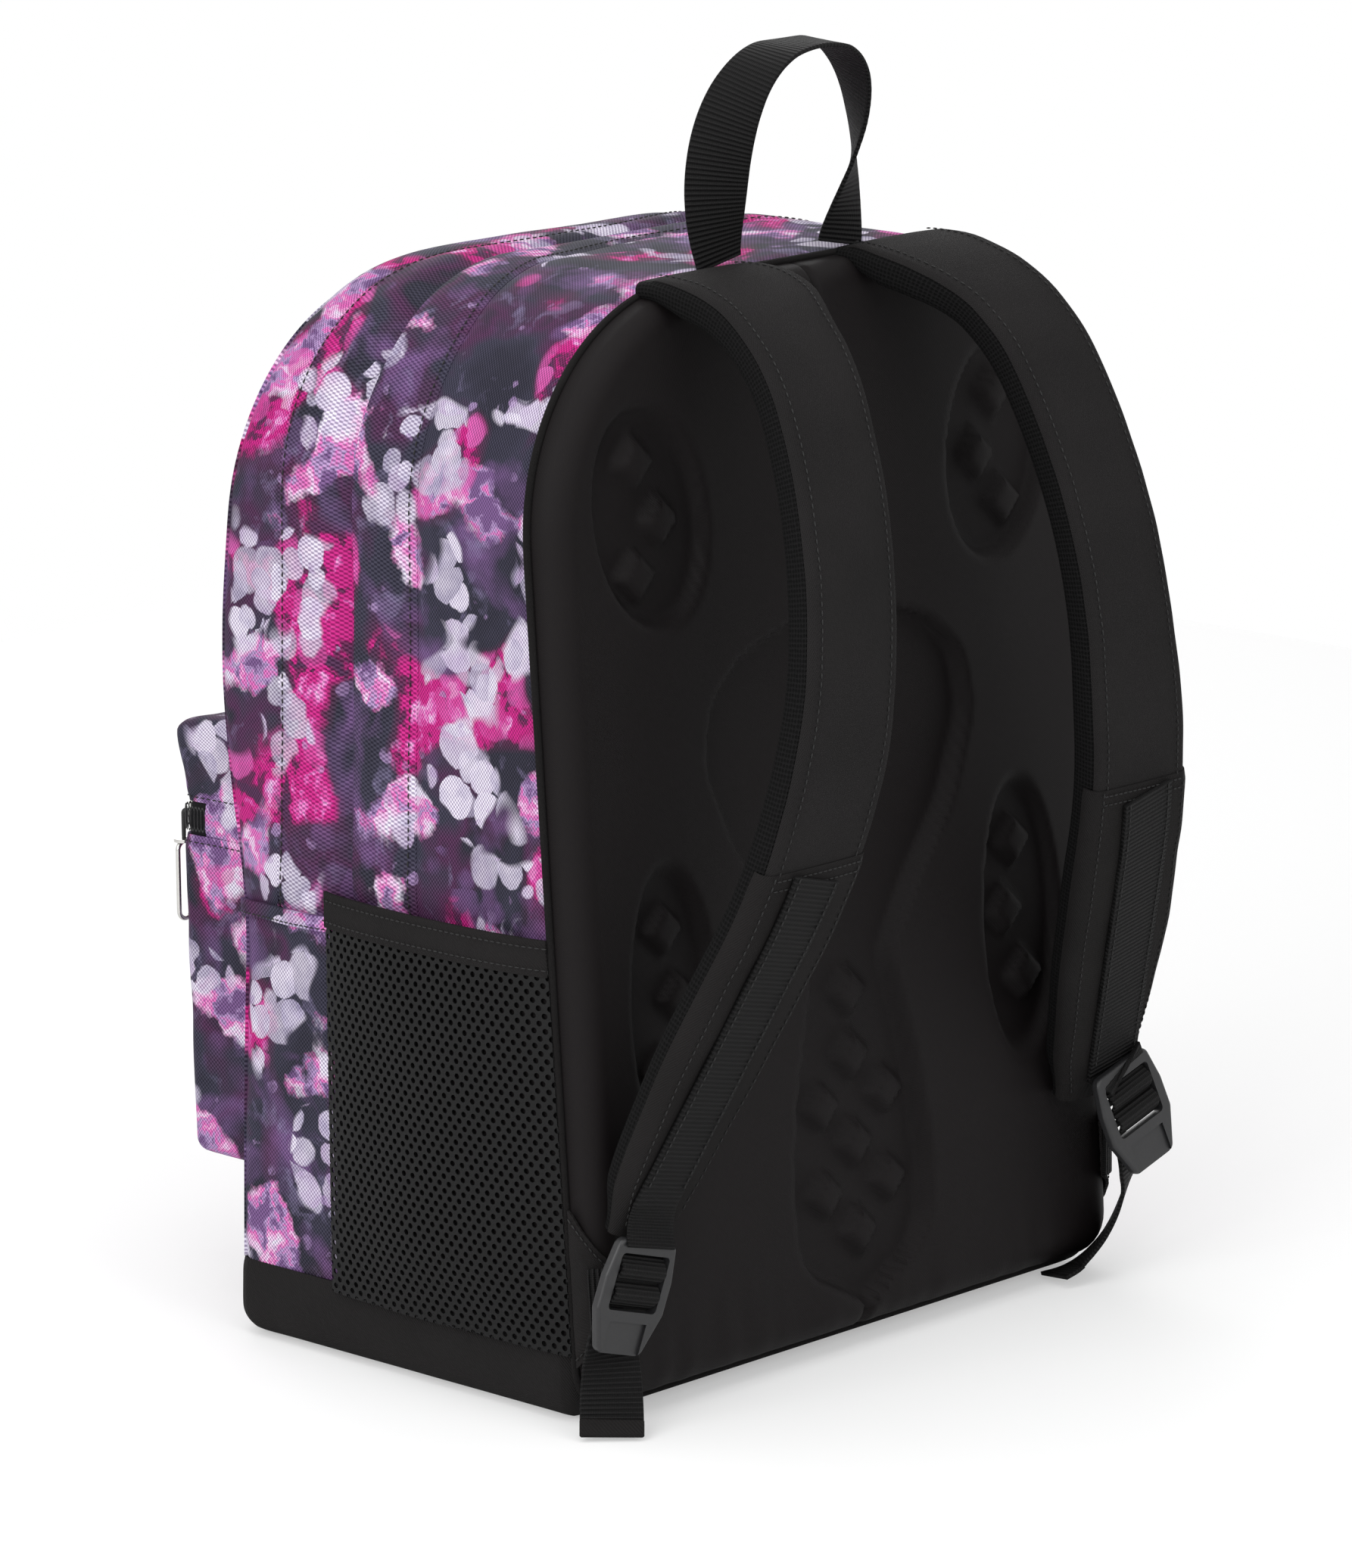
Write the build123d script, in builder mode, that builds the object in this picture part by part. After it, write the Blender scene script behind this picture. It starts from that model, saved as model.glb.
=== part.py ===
from math import cos, radians, sin, tan
import os

from build123d import *

# School backpack: two zipped compartments, a front pocket, two side pockets, a moulded padded
# back, two contoured shoulder straps with ladder locks, and a webbing haul handle.
# Millimetres, +Z up, the origin on the floor at the middle of the bag's base, +Y towards the
# wearer's back, +X the wearer's right.

os.makedirs("parts", exist_ok=True)

# ---- bag body ----
bag_width = 310.0
bag_height = 440.0
front_reach = 95.0  # base centre to the front panel
back_reach = 94.7  # base centre to the back seam, at the floor
back_lean = 3.7  # degrees that the back leans forwards
crown_radius = 95.0  # the arch's two shoulders
front_edge_radius = 12.0
cloth = 2.2  # outer cloth, thin foam and lining
cloth_thin = 1.2  # one sewn layer
seam_gap = 0.3  # between layers that lie on each other
base_wall = 32.0  # height of the dark base panel

# ---- compartments, front to back, as distances from the base centre along Y ----
front_gusset_back = -66.0  # seam of the front compartment's storm flap
front_flap_edge = -41.0  # that flap's free edge
main_flap_edge = -26.0  # the main compartment's flap, free edge
main_flap_seam = 10.0
front_panel_depth = 12.0
zip_floor = 180.0  # both zips end at this height
zip_recess = 8.0  # how far the zip tape lies under the outer cloth
zip_tape = 1.2
coil_width = 6.0
coil_height = 1.5
coil_cover = 4.2  # from a flap's free edge in to the middle of its coil
divider = 1.4

# ---- laptop sleeve and base board ----
sleeve_width = 260.0
sleeve_height = 270.0
sleeve_depth = 24.0
sleeve_wall = 3.0
board_thickness = 3.0
board_margin = 10.0

# ---- moulded back panel ----
panel_foam_in = 6.0  # the foam's share inside the back seam
panel_foam_out = 16.0  # the foam's share outside it
panel_edge_radius = 12.5
panel_floor = 7.0
panel_foot = 16.0  # its two lower corners
piping = 3.0
piping_proud = 0.8
relief = 5.0  # depth of the moulded recesses
pillow_side = 17.0
pillow_height = 4.0
pillow_draft = 30.0

# ---- front pocket ----
pocket_width = 240.0
pocket_floor = 57.0
pocket_top = 252.0  # where it meets the front panel
pocket_brow = 238.0  # top of its front face
pocket_reach = 65.0  # depth at the bottom
pocket_overhang = 5.0  # how much further its front reaches at the brow than at the bottom
pocket_radius = 8.0
pocket_zip_low = 192.0
pocket_zip_high = 206.0
pocket_zip_recess = 1.0

# ---- side pockets ----
side_pocket_front = -38.0
side_pocket_back = 86.0
side_pocket_floor = 29.0
side_pocket_bulge = 7.5
side_pocket_cloth = 1.4
binding_height = 14.0
side_pocket_top = zip_floor + binding_height
binding_proud = 0.7

# ---- haul handle ----
webbing = 25.0  # width of the handle and of the adjusting webbing
webbing_thickness = 1.8
handle_spread = 70.0  # between its two ends
handle_rise = 88.0
handle_ahead = 3.0  # how far in front of the back seam it is sewn
handle_off = 0.5

# ---- shoulder straps: the outer face's line, seen from the side ----
strap_thickness = 13.0
strap_lining = 1.6
strap_lead = 10.0  # degrees above level where it leaves the seam
strap_top_radius = 78.0
strap_top_turn = 73.0
strap_long_turn = 49.0
strap_run_top = 194.1  # height where its long bend ends in a straight run
strap_tip = 88.0  # height of its lower tip
strap_tail_run = 128.0
strap_overlay_top = 227.0
strap_overlay = 1.2
strap_web_top = 223.0
strap_web_width = 27.0
strap_web_foot_right = 78.2
strap_web_foot_left = 94.7
strap_clearance = 0.6

# ---- ladder locks ----
lock_width = 38.0
lock_height = 46.0
lock_thickness = 4.4
lock_window_width = 27.5
lock_window_height = 23.0
lock_window_up = 6.0
lock_bar = 3.0
lock_bar_pitch = 9.5
lock_top_taper = 3.0  # narrower at the top, on each side
lock_foot_taper = 7.0
lock_corner = 4.0
lock_rim = 8.0  # left at full thickness on each side of the thinned tab
lock_lip = 9.5  # from the lock's middle down to where the tab thins
lock_roll = 17.0
web_wrap = 1.6
# centre's X, how far it is behind the line of the strap's face, and its height; then the
# degrees that its top leans away from the bag
lock_right = (146.0, 13.9, 55.6)
lock_right_lean = 6.0
lock_left = (-141.0, 19.47, 73.0)
lock_left_lean = -10.0

# ---- loose webbing below the locks, as distances out from the bag and heights ----
tail_facing = 43.8  # degrees from +X that the right tail faces
tail_right = [(185.0, 30.6), (188.0, 18.0), (191.5, 8.0), (195.5, 1.3)]
tail_right_aside = 24.6
tail_left = [(127.8, 60), (126.0, 40), (122.8, 18), (113.5, 4.2), (101.5, 1.4)]
tail_left_x = -143.5

# ---- wings that anchor the adjusting webbing ----
wing_top = 88.0
wing_foot = 24.0
wing_tip_top = 66.0
wing_tip_foot = 40.0
wing_cloth = 1.8
wing_turn = 78.0
adjuster_turn = (30.0, 84.0)

# ---- zip sliders and pulls ----
slider_length = 11.0
slider_width = 9.6
slider_plate = 1.5
slider_gap = 0.3
slider_corner = 2.0
bail_length = 6.0
bail_wall = 0.8
bail_width = 3.0
front_slider_height = 256.0
main_slider_height = 268.0
pocket_slider_x = 106.0
cord = 1.8
cord_bend = 1.6
cord_length = 12.0
cord_aside = 2.5  # from a flap's free edge, or the slider's bail, to the hanging cord
pull_length = 35.0
pull_width = 9.0
pull_wire = 2.0
pull_head = 4.2
pull_head_thickness = 1.4

# ---- worked out ----
half_width = bag_width / 2
shoulder = bag_height - crown_radius
lean = radians(back_lean)
back_plane = Plane(origin=(0, back_reach, 0), x_dir=(-1, 0, 0), z_dir=(0, cos(lean), sin(lean)))
back_axis = Axis(origin=(0, 0, 0), direction=back_plane.z_dir)
top_back = back_reach - bag_height * tan(lean)  # the back seam's Y at the top
far = 3 * bag_height  # longer than the bag any way


def save(part, name):
    part.label = name
    export_step(part, f"parts/{name}.step")


def arch(inset, floor, foot=0):
    """The bag's outline from behind, taken in by inset, in the sketch that is open."""
    half = half_width - inset
    radius = crown_radius - inset
    with BuildLine() as outline:
        rise = Line((half, floor + foot), (half, shoulder))
        right = JernArc(rise @ 1, rise % 1, radius, 90)
        top = Line(right @ 1, (-(right @ 1).X, (right @ 1).Y))
        left = JernArc(top @ 1, top % 1, radius, 90)
        fall = Line(left @ 1, (-half, floor + foot))
        if foot:
            near = JernArc(fall @ 1, fall % 1, foot, 90)
            base = Line(near @ 1, (half - foot, floor))
            JernArc(base @ 1, base % 1, foot, 90)
        else:
            Line(fall @ 1, rise @ 0)
    make_face(outline.edges())


def bag_block(inset):
    """The bag's outer form as one solid, taken in by inset, cut off at the back seam."""
    depth = front_reach - inset + back_reach
    with BuildPart() as block:
        with BuildSketch(Plane.XZ.offset(-back_reach)):
            arch(inset, inset)
        extrude(amount=depth)
        front = block.faces().sort_by(Axis.Y)[0]
        base = block.faces().sort_by(Axis.Z)[0]
        sides = base.edges().filter_by(Axis.Y)
        fillet(front.edges() + sides, front_edge_radius - inset)
        split(bisect_by=back_plane, keep=Keep.BOTTOM)
    return block.part


def keep_between(low, high):
    """Keep only what lies in the box from low to high of the part that is open."""
    size = [b - a for a, b in zip(low, high)]
    with Locations(tuple((b + a) / 2 for a, b in zip(low, high))):
        Box(*size, mode=Mode.INTERSECT)


outer = bag_block(0)
under_cloth = bag_block(cloth)
under_flap = bag_block(cloth_thin)
coil_top = bag_block(zip_recess - coil_height)
tape_top = bag_block(zip_recess)
tape_back = bag_block(zip_recess + zip_tape)
seam_top = bag_block(cloth_thin + seam_gap)
valley_middle = (front_flap_edge + main_flap_edge) / 2
front_coil = front_flap_edge - coil_cover
main_coil = main_flap_edge + coil_cover


def skin(front, back, floor, top, outside, inside):
    """A band of the bag's skin between two solids, from front to back and floor to top."""
    add(outside)
    add(inside, mode=Mode.SUBTRACT)
    keep_between((-far, front, floor), (far, back, top))


# ==== bag body ====

with BuildPart() as base_panel:
    skin(-far, far, -far, base_wall, outer, under_cloth)
save(base_panel.part, "base_panel")

with BuildPart() as front_panel:
    skin(-far, front_panel_depth - front_reach, base_wall, far, outer, under_cloth)
save(front_panel.part, "front_panel")

with BuildPart() as front_gusset:
    skin(front_panel_depth - front_reach, front_gusset_back, zip_floor, far, outer, under_cloth)
save(front_gusset.part, "front_gusset")

with BuildPart() as rear_gusset:
    skin(main_flap_seam, far, base_wall, far, outer, under_cloth)
save(rear_gusset.part, "rear_gusset")

for side, low, high in (("right", 0, far), ("left", -far, 0)):
    with BuildPart() as side_panel:
        add(outer)
        add(under_cloth, mode=Mode.SUBTRACT)
        keep_between(
            (low, front_panel_depth - front_reach, base_wall), (high, main_flap_seam, zip_floor)
        )
    save(side_panel.part, f"side_panel_{side}")

with BuildPart() as front_zip_flap:
    skin(front_gusset_back, front_flap_edge, zip_floor, far, outer, under_flap)
save(front_zip_flap.part, "front_zip_flap")

with BuildPart() as main_zip_flap:
    skin(main_flap_edge, main_flap_seam, zip_floor, far, outer, under_flap)
save(main_zip_flap.part, "main_zip_flap")

# each zip: its tape under the flap, a lip sewn in with the flap, and the coil proud of the tape
for name, seam, inner_edge, coil in (
    ("front_zip", front_gusset_back, valley_middle, front_coil),
    ("main_zip", main_flap_seam, valley_middle, main_coil),
):
    way = 1 if inner_edge > seam else -1
    lip = sorted((seam, seam + way * zip_tape))
    band = sorted((seam, inner_edge))
    with BuildPart() as zip_lip:
        skin(lip[0], lip[1], zip_floor, far, seam_top, tape_back)
    with BuildPart() as zip_coil:
        skin(coil - coil_width / 2, coil + coil_width / 2, zip_floor, far, coil_top, tape_back)
    with BuildPart() as zip_part:
        skin(band[0], band[1], zip_floor, far, tape_top, tape_back)
        add(zip_lip.part)
        add(zip_coil.part)
    save(zip_part.part, name)

with BuildPart() as compartment_divider:
    with BuildSketch(Plane.XZ.offset(-valley_middle)):
        arch(zip_recess + zip_tape + seam_gap, cloth + board_thickness + seam_gap)
    extrude(amount=divider / 2, both=True)
save(compartment_divider.part, "compartment_divider")

with BuildPart() as base_board:
    board_front = cloth + board_margin - front_reach
    board_back = back_reach - board_margin
    with BuildSketch(Plane.XY.offset(cloth)):
        with Locations((0, (board_front + board_back) / 2)):
            RectangleRounded(
                bag_width - 2 * (cloth + board_margin), board_back - board_front, front_edge_radius
            )
    extrude(amount=board_thickness)
save(base_board.part, "base_board")

# ==== moulded back panel, drawn on the leaning back plane: X across, Y up the back ====


def panel_block(grow):
    """The padded panel's outer form, grown all round."""
    with BuildPart() as block:
        with BuildSketch(back_plane.offset(piping)):
            arch(1 - grow, panel_floor - grow, panel_foot)
        extrude(amount=panel_foam_out - piping + grow)
        face = block.faces().sort_by(back_axis)[-1]
        fillet(face.edges(), panel_edge_radius)
    return block.part


def pillows(places):
    """Sketch of the diamond pillows at these places, in the sketch that is open."""
    with Locations(*places):
        Rectangle(pillow_side, pillow_side, rotation=45)


# the narrow-waisted channel up the spine: half widths at heights up the back
spine_edge = [(0, 302), (60, 292), (78, 262), (62, 214), (22, 158), (34, 112), (40, 70), (30, 30), (0, 24)]
spine_pillows = [(0, 48), (-19, 66), (19, 66), (0, 84), (-19, 102), (19, 102), (0, 120), (0, 146)]
blade_centre = (101, 352)  # the shoulder-blade hollows, one each side
blade_size = (58, 86)
blade_pillows = [(105, 374), (93, 350), (107, 330)]
hip_centre = (103, 158)
hip_size = (44, 112)
hip_pillows = [(103, 190), (97, 162), (107, 134)]
both = (1, -1)

relief_floor = back_plane.offset(panel_foam_out - relief)
with BuildPart() as back_panel:
    add(panel_block(0))
    with BuildSketch(back_plane.offset(-panel_foam_in)):
        arch(cloth + seam_gap, panel_floor, panel_foot)
    extrude(amount=panel_foam_in + piping)
    with BuildSketch(relief_floor):
        with BuildLine() as spine:
            Spline(*spine_edge, tangents=((1, 0), (-1, 0)))
            mirror(about=Plane.YZ)
        make_face(spine.edges())
    extrude(amount=relief, mode=Mode.SUBTRACT)
    with BuildSketch(relief_floor):
        for side in both:
            with Locations((side * blade_centre[0], blade_centre[1])):
                Ellipse(blade_size[0] / 2, blade_size[1] / 2, rotation=-12 * side)
            with Locations((side * hip_centre[0], hip_centre[1])):
                Ellipse(hip_size[0] / 2, hip_size[1] / 2)
    extrude(amount=relief, mode=Mode.SUBTRACT)
    with BuildSketch(relief_floor):
        pillows(spine_pillows)
        pillows([(side * x, y) for x, y in blade_pillows + hip_pillows for side in both])
    extrude(amount=pillow_height, taper=pillow_draft)
save(back_panel.part, "back_panel")

with BuildPart() as back_piping:
    with BuildSketch(back_plane):
        arch(-piping_proud, panel_floor - piping, panel_foot)
    extrude(amount=piping)
    fillet(back_piping.faces().sort_by(back_axis)[-1].edges(), piping_proud)
    with BuildSketch(back_plane):
        arch(cloth + seam_gap, panel_floor, panel_foot)
    extrude(amount=piping, mode=Mode.SUBTRACT)
save(back_piping.part, "back_piping")

with BuildPart() as laptop_sleeve:
    sleeve_dip = (panel_foam_in + sleeve_depth) * sin(lean)
    sleeve_floor = cloth + board_thickness + seam_gap + sleeve_dip
    with BuildSketch(back_plane.offset(-panel_foam_in - sleeve_depth)):
        with Locations((0, sleeve_floor + sleeve_height / 2)):
            RectangleRounded(sleeve_width, sleeve_height, front_edge_radius)
    extrude(amount=sleeve_depth)
    with BuildSketch(back_plane.offset(-panel_foam_in - sleeve_depth + sleeve_wall)):
        with Locations((0, sleeve_floor + sleeve_wall + sleeve_height / 2)):
            Rectangle(sleeve_width - 2 * sleeve_wall, sleeve_height)
    extrude(amount=sleeve_depth, mode=Mode.SUBTRACT)
save(laptop_sleeve.part, "laptop_sleeve")

# ==== front pocket ====


def pocket_front(height):
    """How far the pocket's front face reaches at a height."""
    rise = (height - pocket_floor) / (pocket_brow - pocket_floor)
    return front_reach + pocket_reach + pocket_overhang * rise


def pocket_block(inset):
    """The front pocket's outer form, taken in by inset, open towards the bag."""
    low = pocket_floor + inset
    brow = pocket_brow - inset
    crest = pocket_top - inset
    with BuildPart() as block:
        with BuildSketch(Plane.YZ.offset(inset - pocket_width / 2)):
            with BuildLine() as side:
                Polyline(
                    (-front_reach, low),
                    (inset - pocket_front(low), low),
                    (inset - pocket_front(brow), brow),
                    (-front_reach, crest),
                    close=True,
                )
            make_face(side.edges())
        extrude(amount=pocket_width - 2 * inset)
        face = block.faces().sort_by(Axis.Y)[0]
        fillet(face.edges(), pocket_radius - inset)
    return block.part


pocket_outer = pocket_block(0)
pocket_inner = pocket_block(cloth)
pocket_tape_top = pocket_block(pocket_zip_recess)
pocket_zip_middle = (pocket_zip_low + pocket_zip_high) / 2

with BuildPart() as pocket_lower:
    skin(-far, far, -far, pocket_zip_low, pocket_outer, pocket_inner)
save(pocket_lower.part, "pocket_lower")

with BuildPart() as pocket_upper:
    skin(-far, far, pocket_zip_high, far, pocket_outer, pocket_inner)
save(pocket_upper.part, "pocket_upper")

# the pocket's zip: a tape between the two walls, with its coil across the front
pocket_coil_proud = coil_height - pocket_zip_recess
with BuildPart() as pocket_zip:
    skin(-far, far, pocket_zip_low, pocket_zip_high, pocket_tape_top, pocket_inner)
    pocket_coil_size = (pocket_width - 2 * pocket_radius, coil_height, coil_width)
    with Locations((0, pocket_coil_proud - pocket_front(pocket_zip_middle), pocket_zip_middle)):
        Box(*pocket_coil_size, align=(Align.CENTER, Align.MIN, Align.CENTER))
save(pocket_zip.part, "pocket_zip")

# ==== side pockets: one of mesh on the right, one of cloth on the left ====


def pocket_curve(proud, floor, height, thickness):
    """A bowed wall on the bag's right side, its ends against the side panel."""
    middle = (side_pocket_front + side_pocket_back) / 2
    wall = half_width + seam_gap
    with BuildPart() as bowed:
        for off, mode in ((proud + thickness, Mode.ADD), (proud, Mode.SUBTRACT)):
            with BuildSketch(Plane.XY.offset(floor)):
                with BuildLine() as bow:
                    ThreePointArc(
                        (wall, side_pocket_front - off),
                        (wall + side_pocket_bulge + off, middle),
                        (wall, side_pocket_back + off),
                    )
                    Line((wall, side_pocket_back + off), (wall, side_pocket_front - off))
                make_face(bow.edges())
            extrude(amount=height, mode=mode)
    return bowed.part


binding_floor = side_pocket_top - binding_height
with BuildPart() as pocket_wall:
    add(pocket_curve(0, side_pocket_floor, binding_floor - side_pocket_floor, side_pocket_cloth))
    bottom = pocket_wall.faces().sort_by(Axis.Z)[0]
    with BuildSketch(Plane.XY.offset(side_pocket_floor)):
        make_hull(bottom.edges())
    extrude(amount=side_pocket_cloth)
    split(bisect_by=back_plane.offset(-seam_gap), keep=Keep.BOTTOM)

with BuildPart() as pocket_binding:
    binding_wall = side_pocket_cloth + 2 * binding_proud
    add(pocket_curve(-binding_proud, binding_floor, binding_height, binding_wall))
    keep_between((half_width + seam_gap, -far, 0), (far, far, far))
    split(bisect_by=back_plane.offset(-seam_gap), keep=Keep.BOTTOM)

for name, solid in (("mesh_pocket", pocket_wall), ("mesh_pocket_binding", pocket_binding)):
    save(solid.part, name)
for name, solid in (("cloth_pocket", pocket_wall), ("cloth_pocket_binding", pocket_binding)):
    with BuildPart() as mirrored:
        mirror(solid.part, about=Plane.YZ)
    save(mirrored.part, name)

# ==== haul handle: a webbing loop that twists a quarter turn up to its crest ====

handle_y = top_back - handle_ahead
handle_foot = bag_height + handle_off
handle_steps = 12


def handle_place(turn):
    """Centre of the loop, in X and Z, at an angle from its right foot round to its left."""
    angle = radians(turn)
    reach = abs(cos(angle)) ** 0.55 * (1 + 0.25 * abs(sin(2 * angle)))
    side = 1 if turn < 90 else -1
    return Vector(side * handle_spread / 2 * reach, handle_y, handle_foot + handle_rise * sin(angle))


with BuildPart() as haul_handle:
    for step in range(handle_steps + 1):
        turn = 180 * step / handle_steps
        ahead = handle_place(min(turn + 1, 180)) - handle_place(max(turn - 1, 0))
        if step in (0, handle_steps):
            ahead = Vector(0, 0, 1 if step == 0 else -1)
        in_plane = Vector(0, 1, 0).cross(ahead).normalized()
        twist = radians(90) * sin(radians(turn)) ** 2
        across = in_plane * cos(twist) - Vector(0, 1, 0) * sin(twist)
        with BuildSketch(Plane(handle_place(turn), x_dir=across, z_dir=ahead.normalized())):
            Rectangle(webbing, webbing_thickness)
    loft()
save(haul_handle.part, "haul_handle")

# ==== shoulder straps, modelled on the right and mirrored ====

strap_root = Vector(top_back + seam_gap + 0.5, bag_height + 1.0)
# headings, in degrees above level, at the root, after the top bend and after the long one
strap_headings = (strap_lead, strap_lead - strap_top_turn, strap_lead - strap_top_turn - strap_long_turn)
bend_starts, bend_mids, bend_ends = [radians(heading) for heading in strap_headings]
strap_top_drop = strap_top_radius * (cos(bend_starts) - cos(bend_mids))
strap_long_radius = (strap_root.Y - strap_top_drop - strap_run_top) / (cos(bend_mids) - cos(bend_ends))
strap_run_reach = (
    strap_root.X
    + strap_top_radius * (sin(bend_starts) - sin(bend_mids))
    + strap_long_radius * (sin(bend_mids) - sin(bend_ends))
)


def strap_face(height):
    """Y of the straight run's outer face, carried on down to a height."""
    return strap_run_reach - (strap_run_top - height) * cos(bend_ends) / sin(bend_ends)


# the strap's two edges from behind: X, and height as a share of the way from its tip to the bag's top
strap_inner_shape = [
    (14, 1.017),
    (36, 0.983),
    (43, 0.892),
    (52, 0.7017),
    (60, 0.4943),
    (76, 0.2898),
    (92, 0.142),
    (112, 0),
]
strap_outer_shape = [
    (86, 1.017),
    (91, 0.9432),
    (97, 0.8068),
    (108, 0.5909),
    (127, 0.3636),
    (146, 0.1875),
    (152, 0.0568),
]
strap_tip_shape = [(149, 0.0114)]


def strap_drawn(shape):
    """Points of the strap's outline from behind, as X and Z."""
    return [(x, strap_tip + share * (bag_height - strap_tip)) for x, share in shape]


# the webbing's centre line from behind: X at its top, and its slope down to the lock
web_top_x = 98
web_slope = -0.29


def strap_layer(shallow, deep):
    """A layer of the strap between two depths under its outer face, over the bag's right half."""
    lead = radians(strap_lead)
    into = Vector(sin(lead), -cos(lead))
    with BuildPart() as layer:
        with BuildSketch(Plane.YZ):
            with BuildLine() as band:
                ends = []
                for depth in (shallow, deep):
                    start = strap_root + into * depth
                    ahead = (cos(lead), sin(lead))
                    top = JernArc(start, ahead, strap_top_radius - depth, -strap_top_turn)
                    long = JernArc(top @ 1, top % 1, strap_long_radius - depth, -strap_long_turn)
                    run = Line(long @ 1, (long @ 1) + (long % 1) * strap_tail_run)
                    ends.append((start, run @ 1))
                Line(ends[0][0], ends[1][0])
                Line(ends[0][1], ends[1][1])
            make_face(band.edges())
        extrude(amount=bag_width)
    return layer.part


def inside_outline(*edges):
    """Keep only what lies inside this closed outline, drawn from behind, of the open part."""
    with BuildSketch(Plane.XZ) as outline:
        make_face(edges)
    extrude(outline.sketch, amount=-bag_width, mode=Mode.INTERSECT)


def strap_outline():
    with BuildLine(mode=Mode.PRIVATE) as outline:
        inner = Spline(*strap_drawn(strap_inner_shape))
        outer = Spline(*strap_drawn(strap_outer_shape))
        Line(inner @ 0, outer @ 0)
        Polyline(inner @ 1, *strap_drawn(strap_tip_shape), outer @ 1)
    return outline.edges()


strap_edges = strap_outline()

# the space the straps stay out of: the padded panel, and the seam in front of it
with BuildPart() as strap_room:
    add(panel_block(strap_clearance))
    with BuildSketch(back_plane.offset(piping + strap_clearance)):
        Rectangle(2 * far, 2 * far)
    extrude(amount=-far)

with BuildPart() as strap_pad:
    add(strap_layer(0, strap_thickness - strap_lining))
    inside_outline(*strap_edges)
    add(strap_room.part, mode=Mode.SUBTRACT)

with BuildPart() as strap_mesh:
    add(strap_layer(strap_thickness - strap_lining, strap_thickness))
    inside_outline(*strap_edges)
    add(strap_room.part, mode=Mode.SUBTRACT)

with BuildPart() as strap_overlay_part:
    add(strap_layer(-strap_overlay, 0))
    inside_outline(*strap_edges)
    keep_between((0, -far, 0), (far, far, strap_overlay_top))


def strap_webbing(foot):
    """The webbing sewn down the strap's overlay, from its box stitch to its foot at the lock."""
    top = Vector(web_top_x, strap_web_top)
    low = Vector(web_top_x + web_slope * (foot - strap_web_top), foot)
    along = (top - low).normalized()
    half = Vector(-along.Y, along.X) * strap_web_width / 2
    with BuildLine() as outline:
        Polyline(top + half, top - half, low - half, low + half, close=True)
    with BuildPart() as strip:
        add(strap_layer(-strap_overlay - webbing_thickness, -strap_overlay))
        inside_outline(*outline.edges())
    return strip.part


strap_parts = (("pad", strap_pad), ("mesh_lining", strap_mesh), ("overlay", strap_overlay_part))
for name, solid in strap_parts:
    save(solid.part, f"strap_{name}_right")
    with BuildPart() as mirrored:
        mirror(solid.part, about=Plane.YZ)
    save(mirrored.part, f"strap_{name}_left")

save(strap_webbing(strap_web_foot_right), "strap_webbing_right")
with BuildPart() as mirrored:
    mirror(strap_webbing(strap_web_foot_left), about=Plane.YZ)
save(mirrored.part, "strap_webbing_left")

# ==== ladder locks, each with the webbing over its bars and the loose tail ====


def lock_plane(centre, lean_out, side):
    """The lock's own plane: Y up the lock, Z out of the face that looks away from the bag."""
    roll = radians(lock_roll)
    tilt = radians(lean_out)
    up = Vector(-side * sin(roll), 0, cos(roll))
    out = Vector(0, 1, 0)
    long = up * cos(tilt) + out * sin(tilt)
    face = out * cos(tilt) - up * sin(tilt)
    return Plane(origin=centre, x_dir=long.cross(face), z_dir=face)


def ladder_lock(plane):
    half = lock_width / 2
    rise = lock_height / 2
    with BuildPart() as lock:
        with BuildSketch(plane.offset(-lock_thickness / 2)) as frame:
            with BuildLine():
                Polyline(
                    (half - lock_top_taper, rise),
                    (half, rise / 3),
                    (half, -rise / 4),
                    (half - lock_foot_taper, -rise),
                    (lock_foot_taper - half, -rise),
                    (-half, -rise / 4),
                    (-half, rise / 3),
                    (lock_top_taper - half, rise),
                    close=True,
                )
            make_face()
            fillet(frame.vertices(), lock_corner)
        extrude(amount=lock_thickness)
        ends = [face for face in lock.faces() if abs(face.normal_at().dot(plane.z_dir)) > 0.99]
        fillet([edge for face in ends for edge in face.edges()], 1.4)
        with BuildSketch(plane.offset(-lock_thickness)):
            with Locations((0, lock_window_up)):
                RectangleRounded(lock_window_width, lock_window_height, 2)
        extrude(amount=2 * lock_thickness, mode=Mode.SUBTRACT)
        # the tab below the window thins towards its lip
        with BuildSketch(plane.offset(lock_thickness / 2 - 1.2)):
            with Locations((0, -rise)):
                Rectangle(lock_width - 2 * lock_rim, 2 * (rise - lock_lip), align=Align.CENTER)
        extrude(amount=lock_thickness, taper=20, mode=Mode.SUBTRACT)
        for up in (lock_window_up + lock_bar_pitch / 2, lock_window_up - lock_bar_pitch / 2):
            middle = plane.from_local_coords(Vector(0, up, 0))
            with BuildSketch(Plane(origin=middle, x_dir=plane.y_dir, z_dir=plane.x_dir)):
                Circle(lock_bar / 2)
            extrude(amount=lock_window_width / 2 + 0.5, both=True)
    return lock.part


def bar_webbing(plane):
    """The webbing that goes over the lock's two bars."""
    inner = lock_bar / 2 + seam_gap
    with BuildPart() as wrap:
        for up in (lock_window_up + lock_bar_pitch / 2, lock_window_up - lock_bar_pitch / 2):
            middle = plane.from_local_coords(Vector(0, up, 0))
            with BuildSketch(Plane(origin=middle, x_dir=plane.y_dir, z_dir=plane.x_dir)):
                Circle(inner + web_wrap)
                Circle(inner, mode=Mode.SUBTRACT)
                with Locations((0, -inner)):
                    Rectangle(lock_bar_pitch, 2 * inner, mode=Mode.SUBTRACT)
            extrude(amount=webbing / 2, both=True)
    return wrap.part


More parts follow.
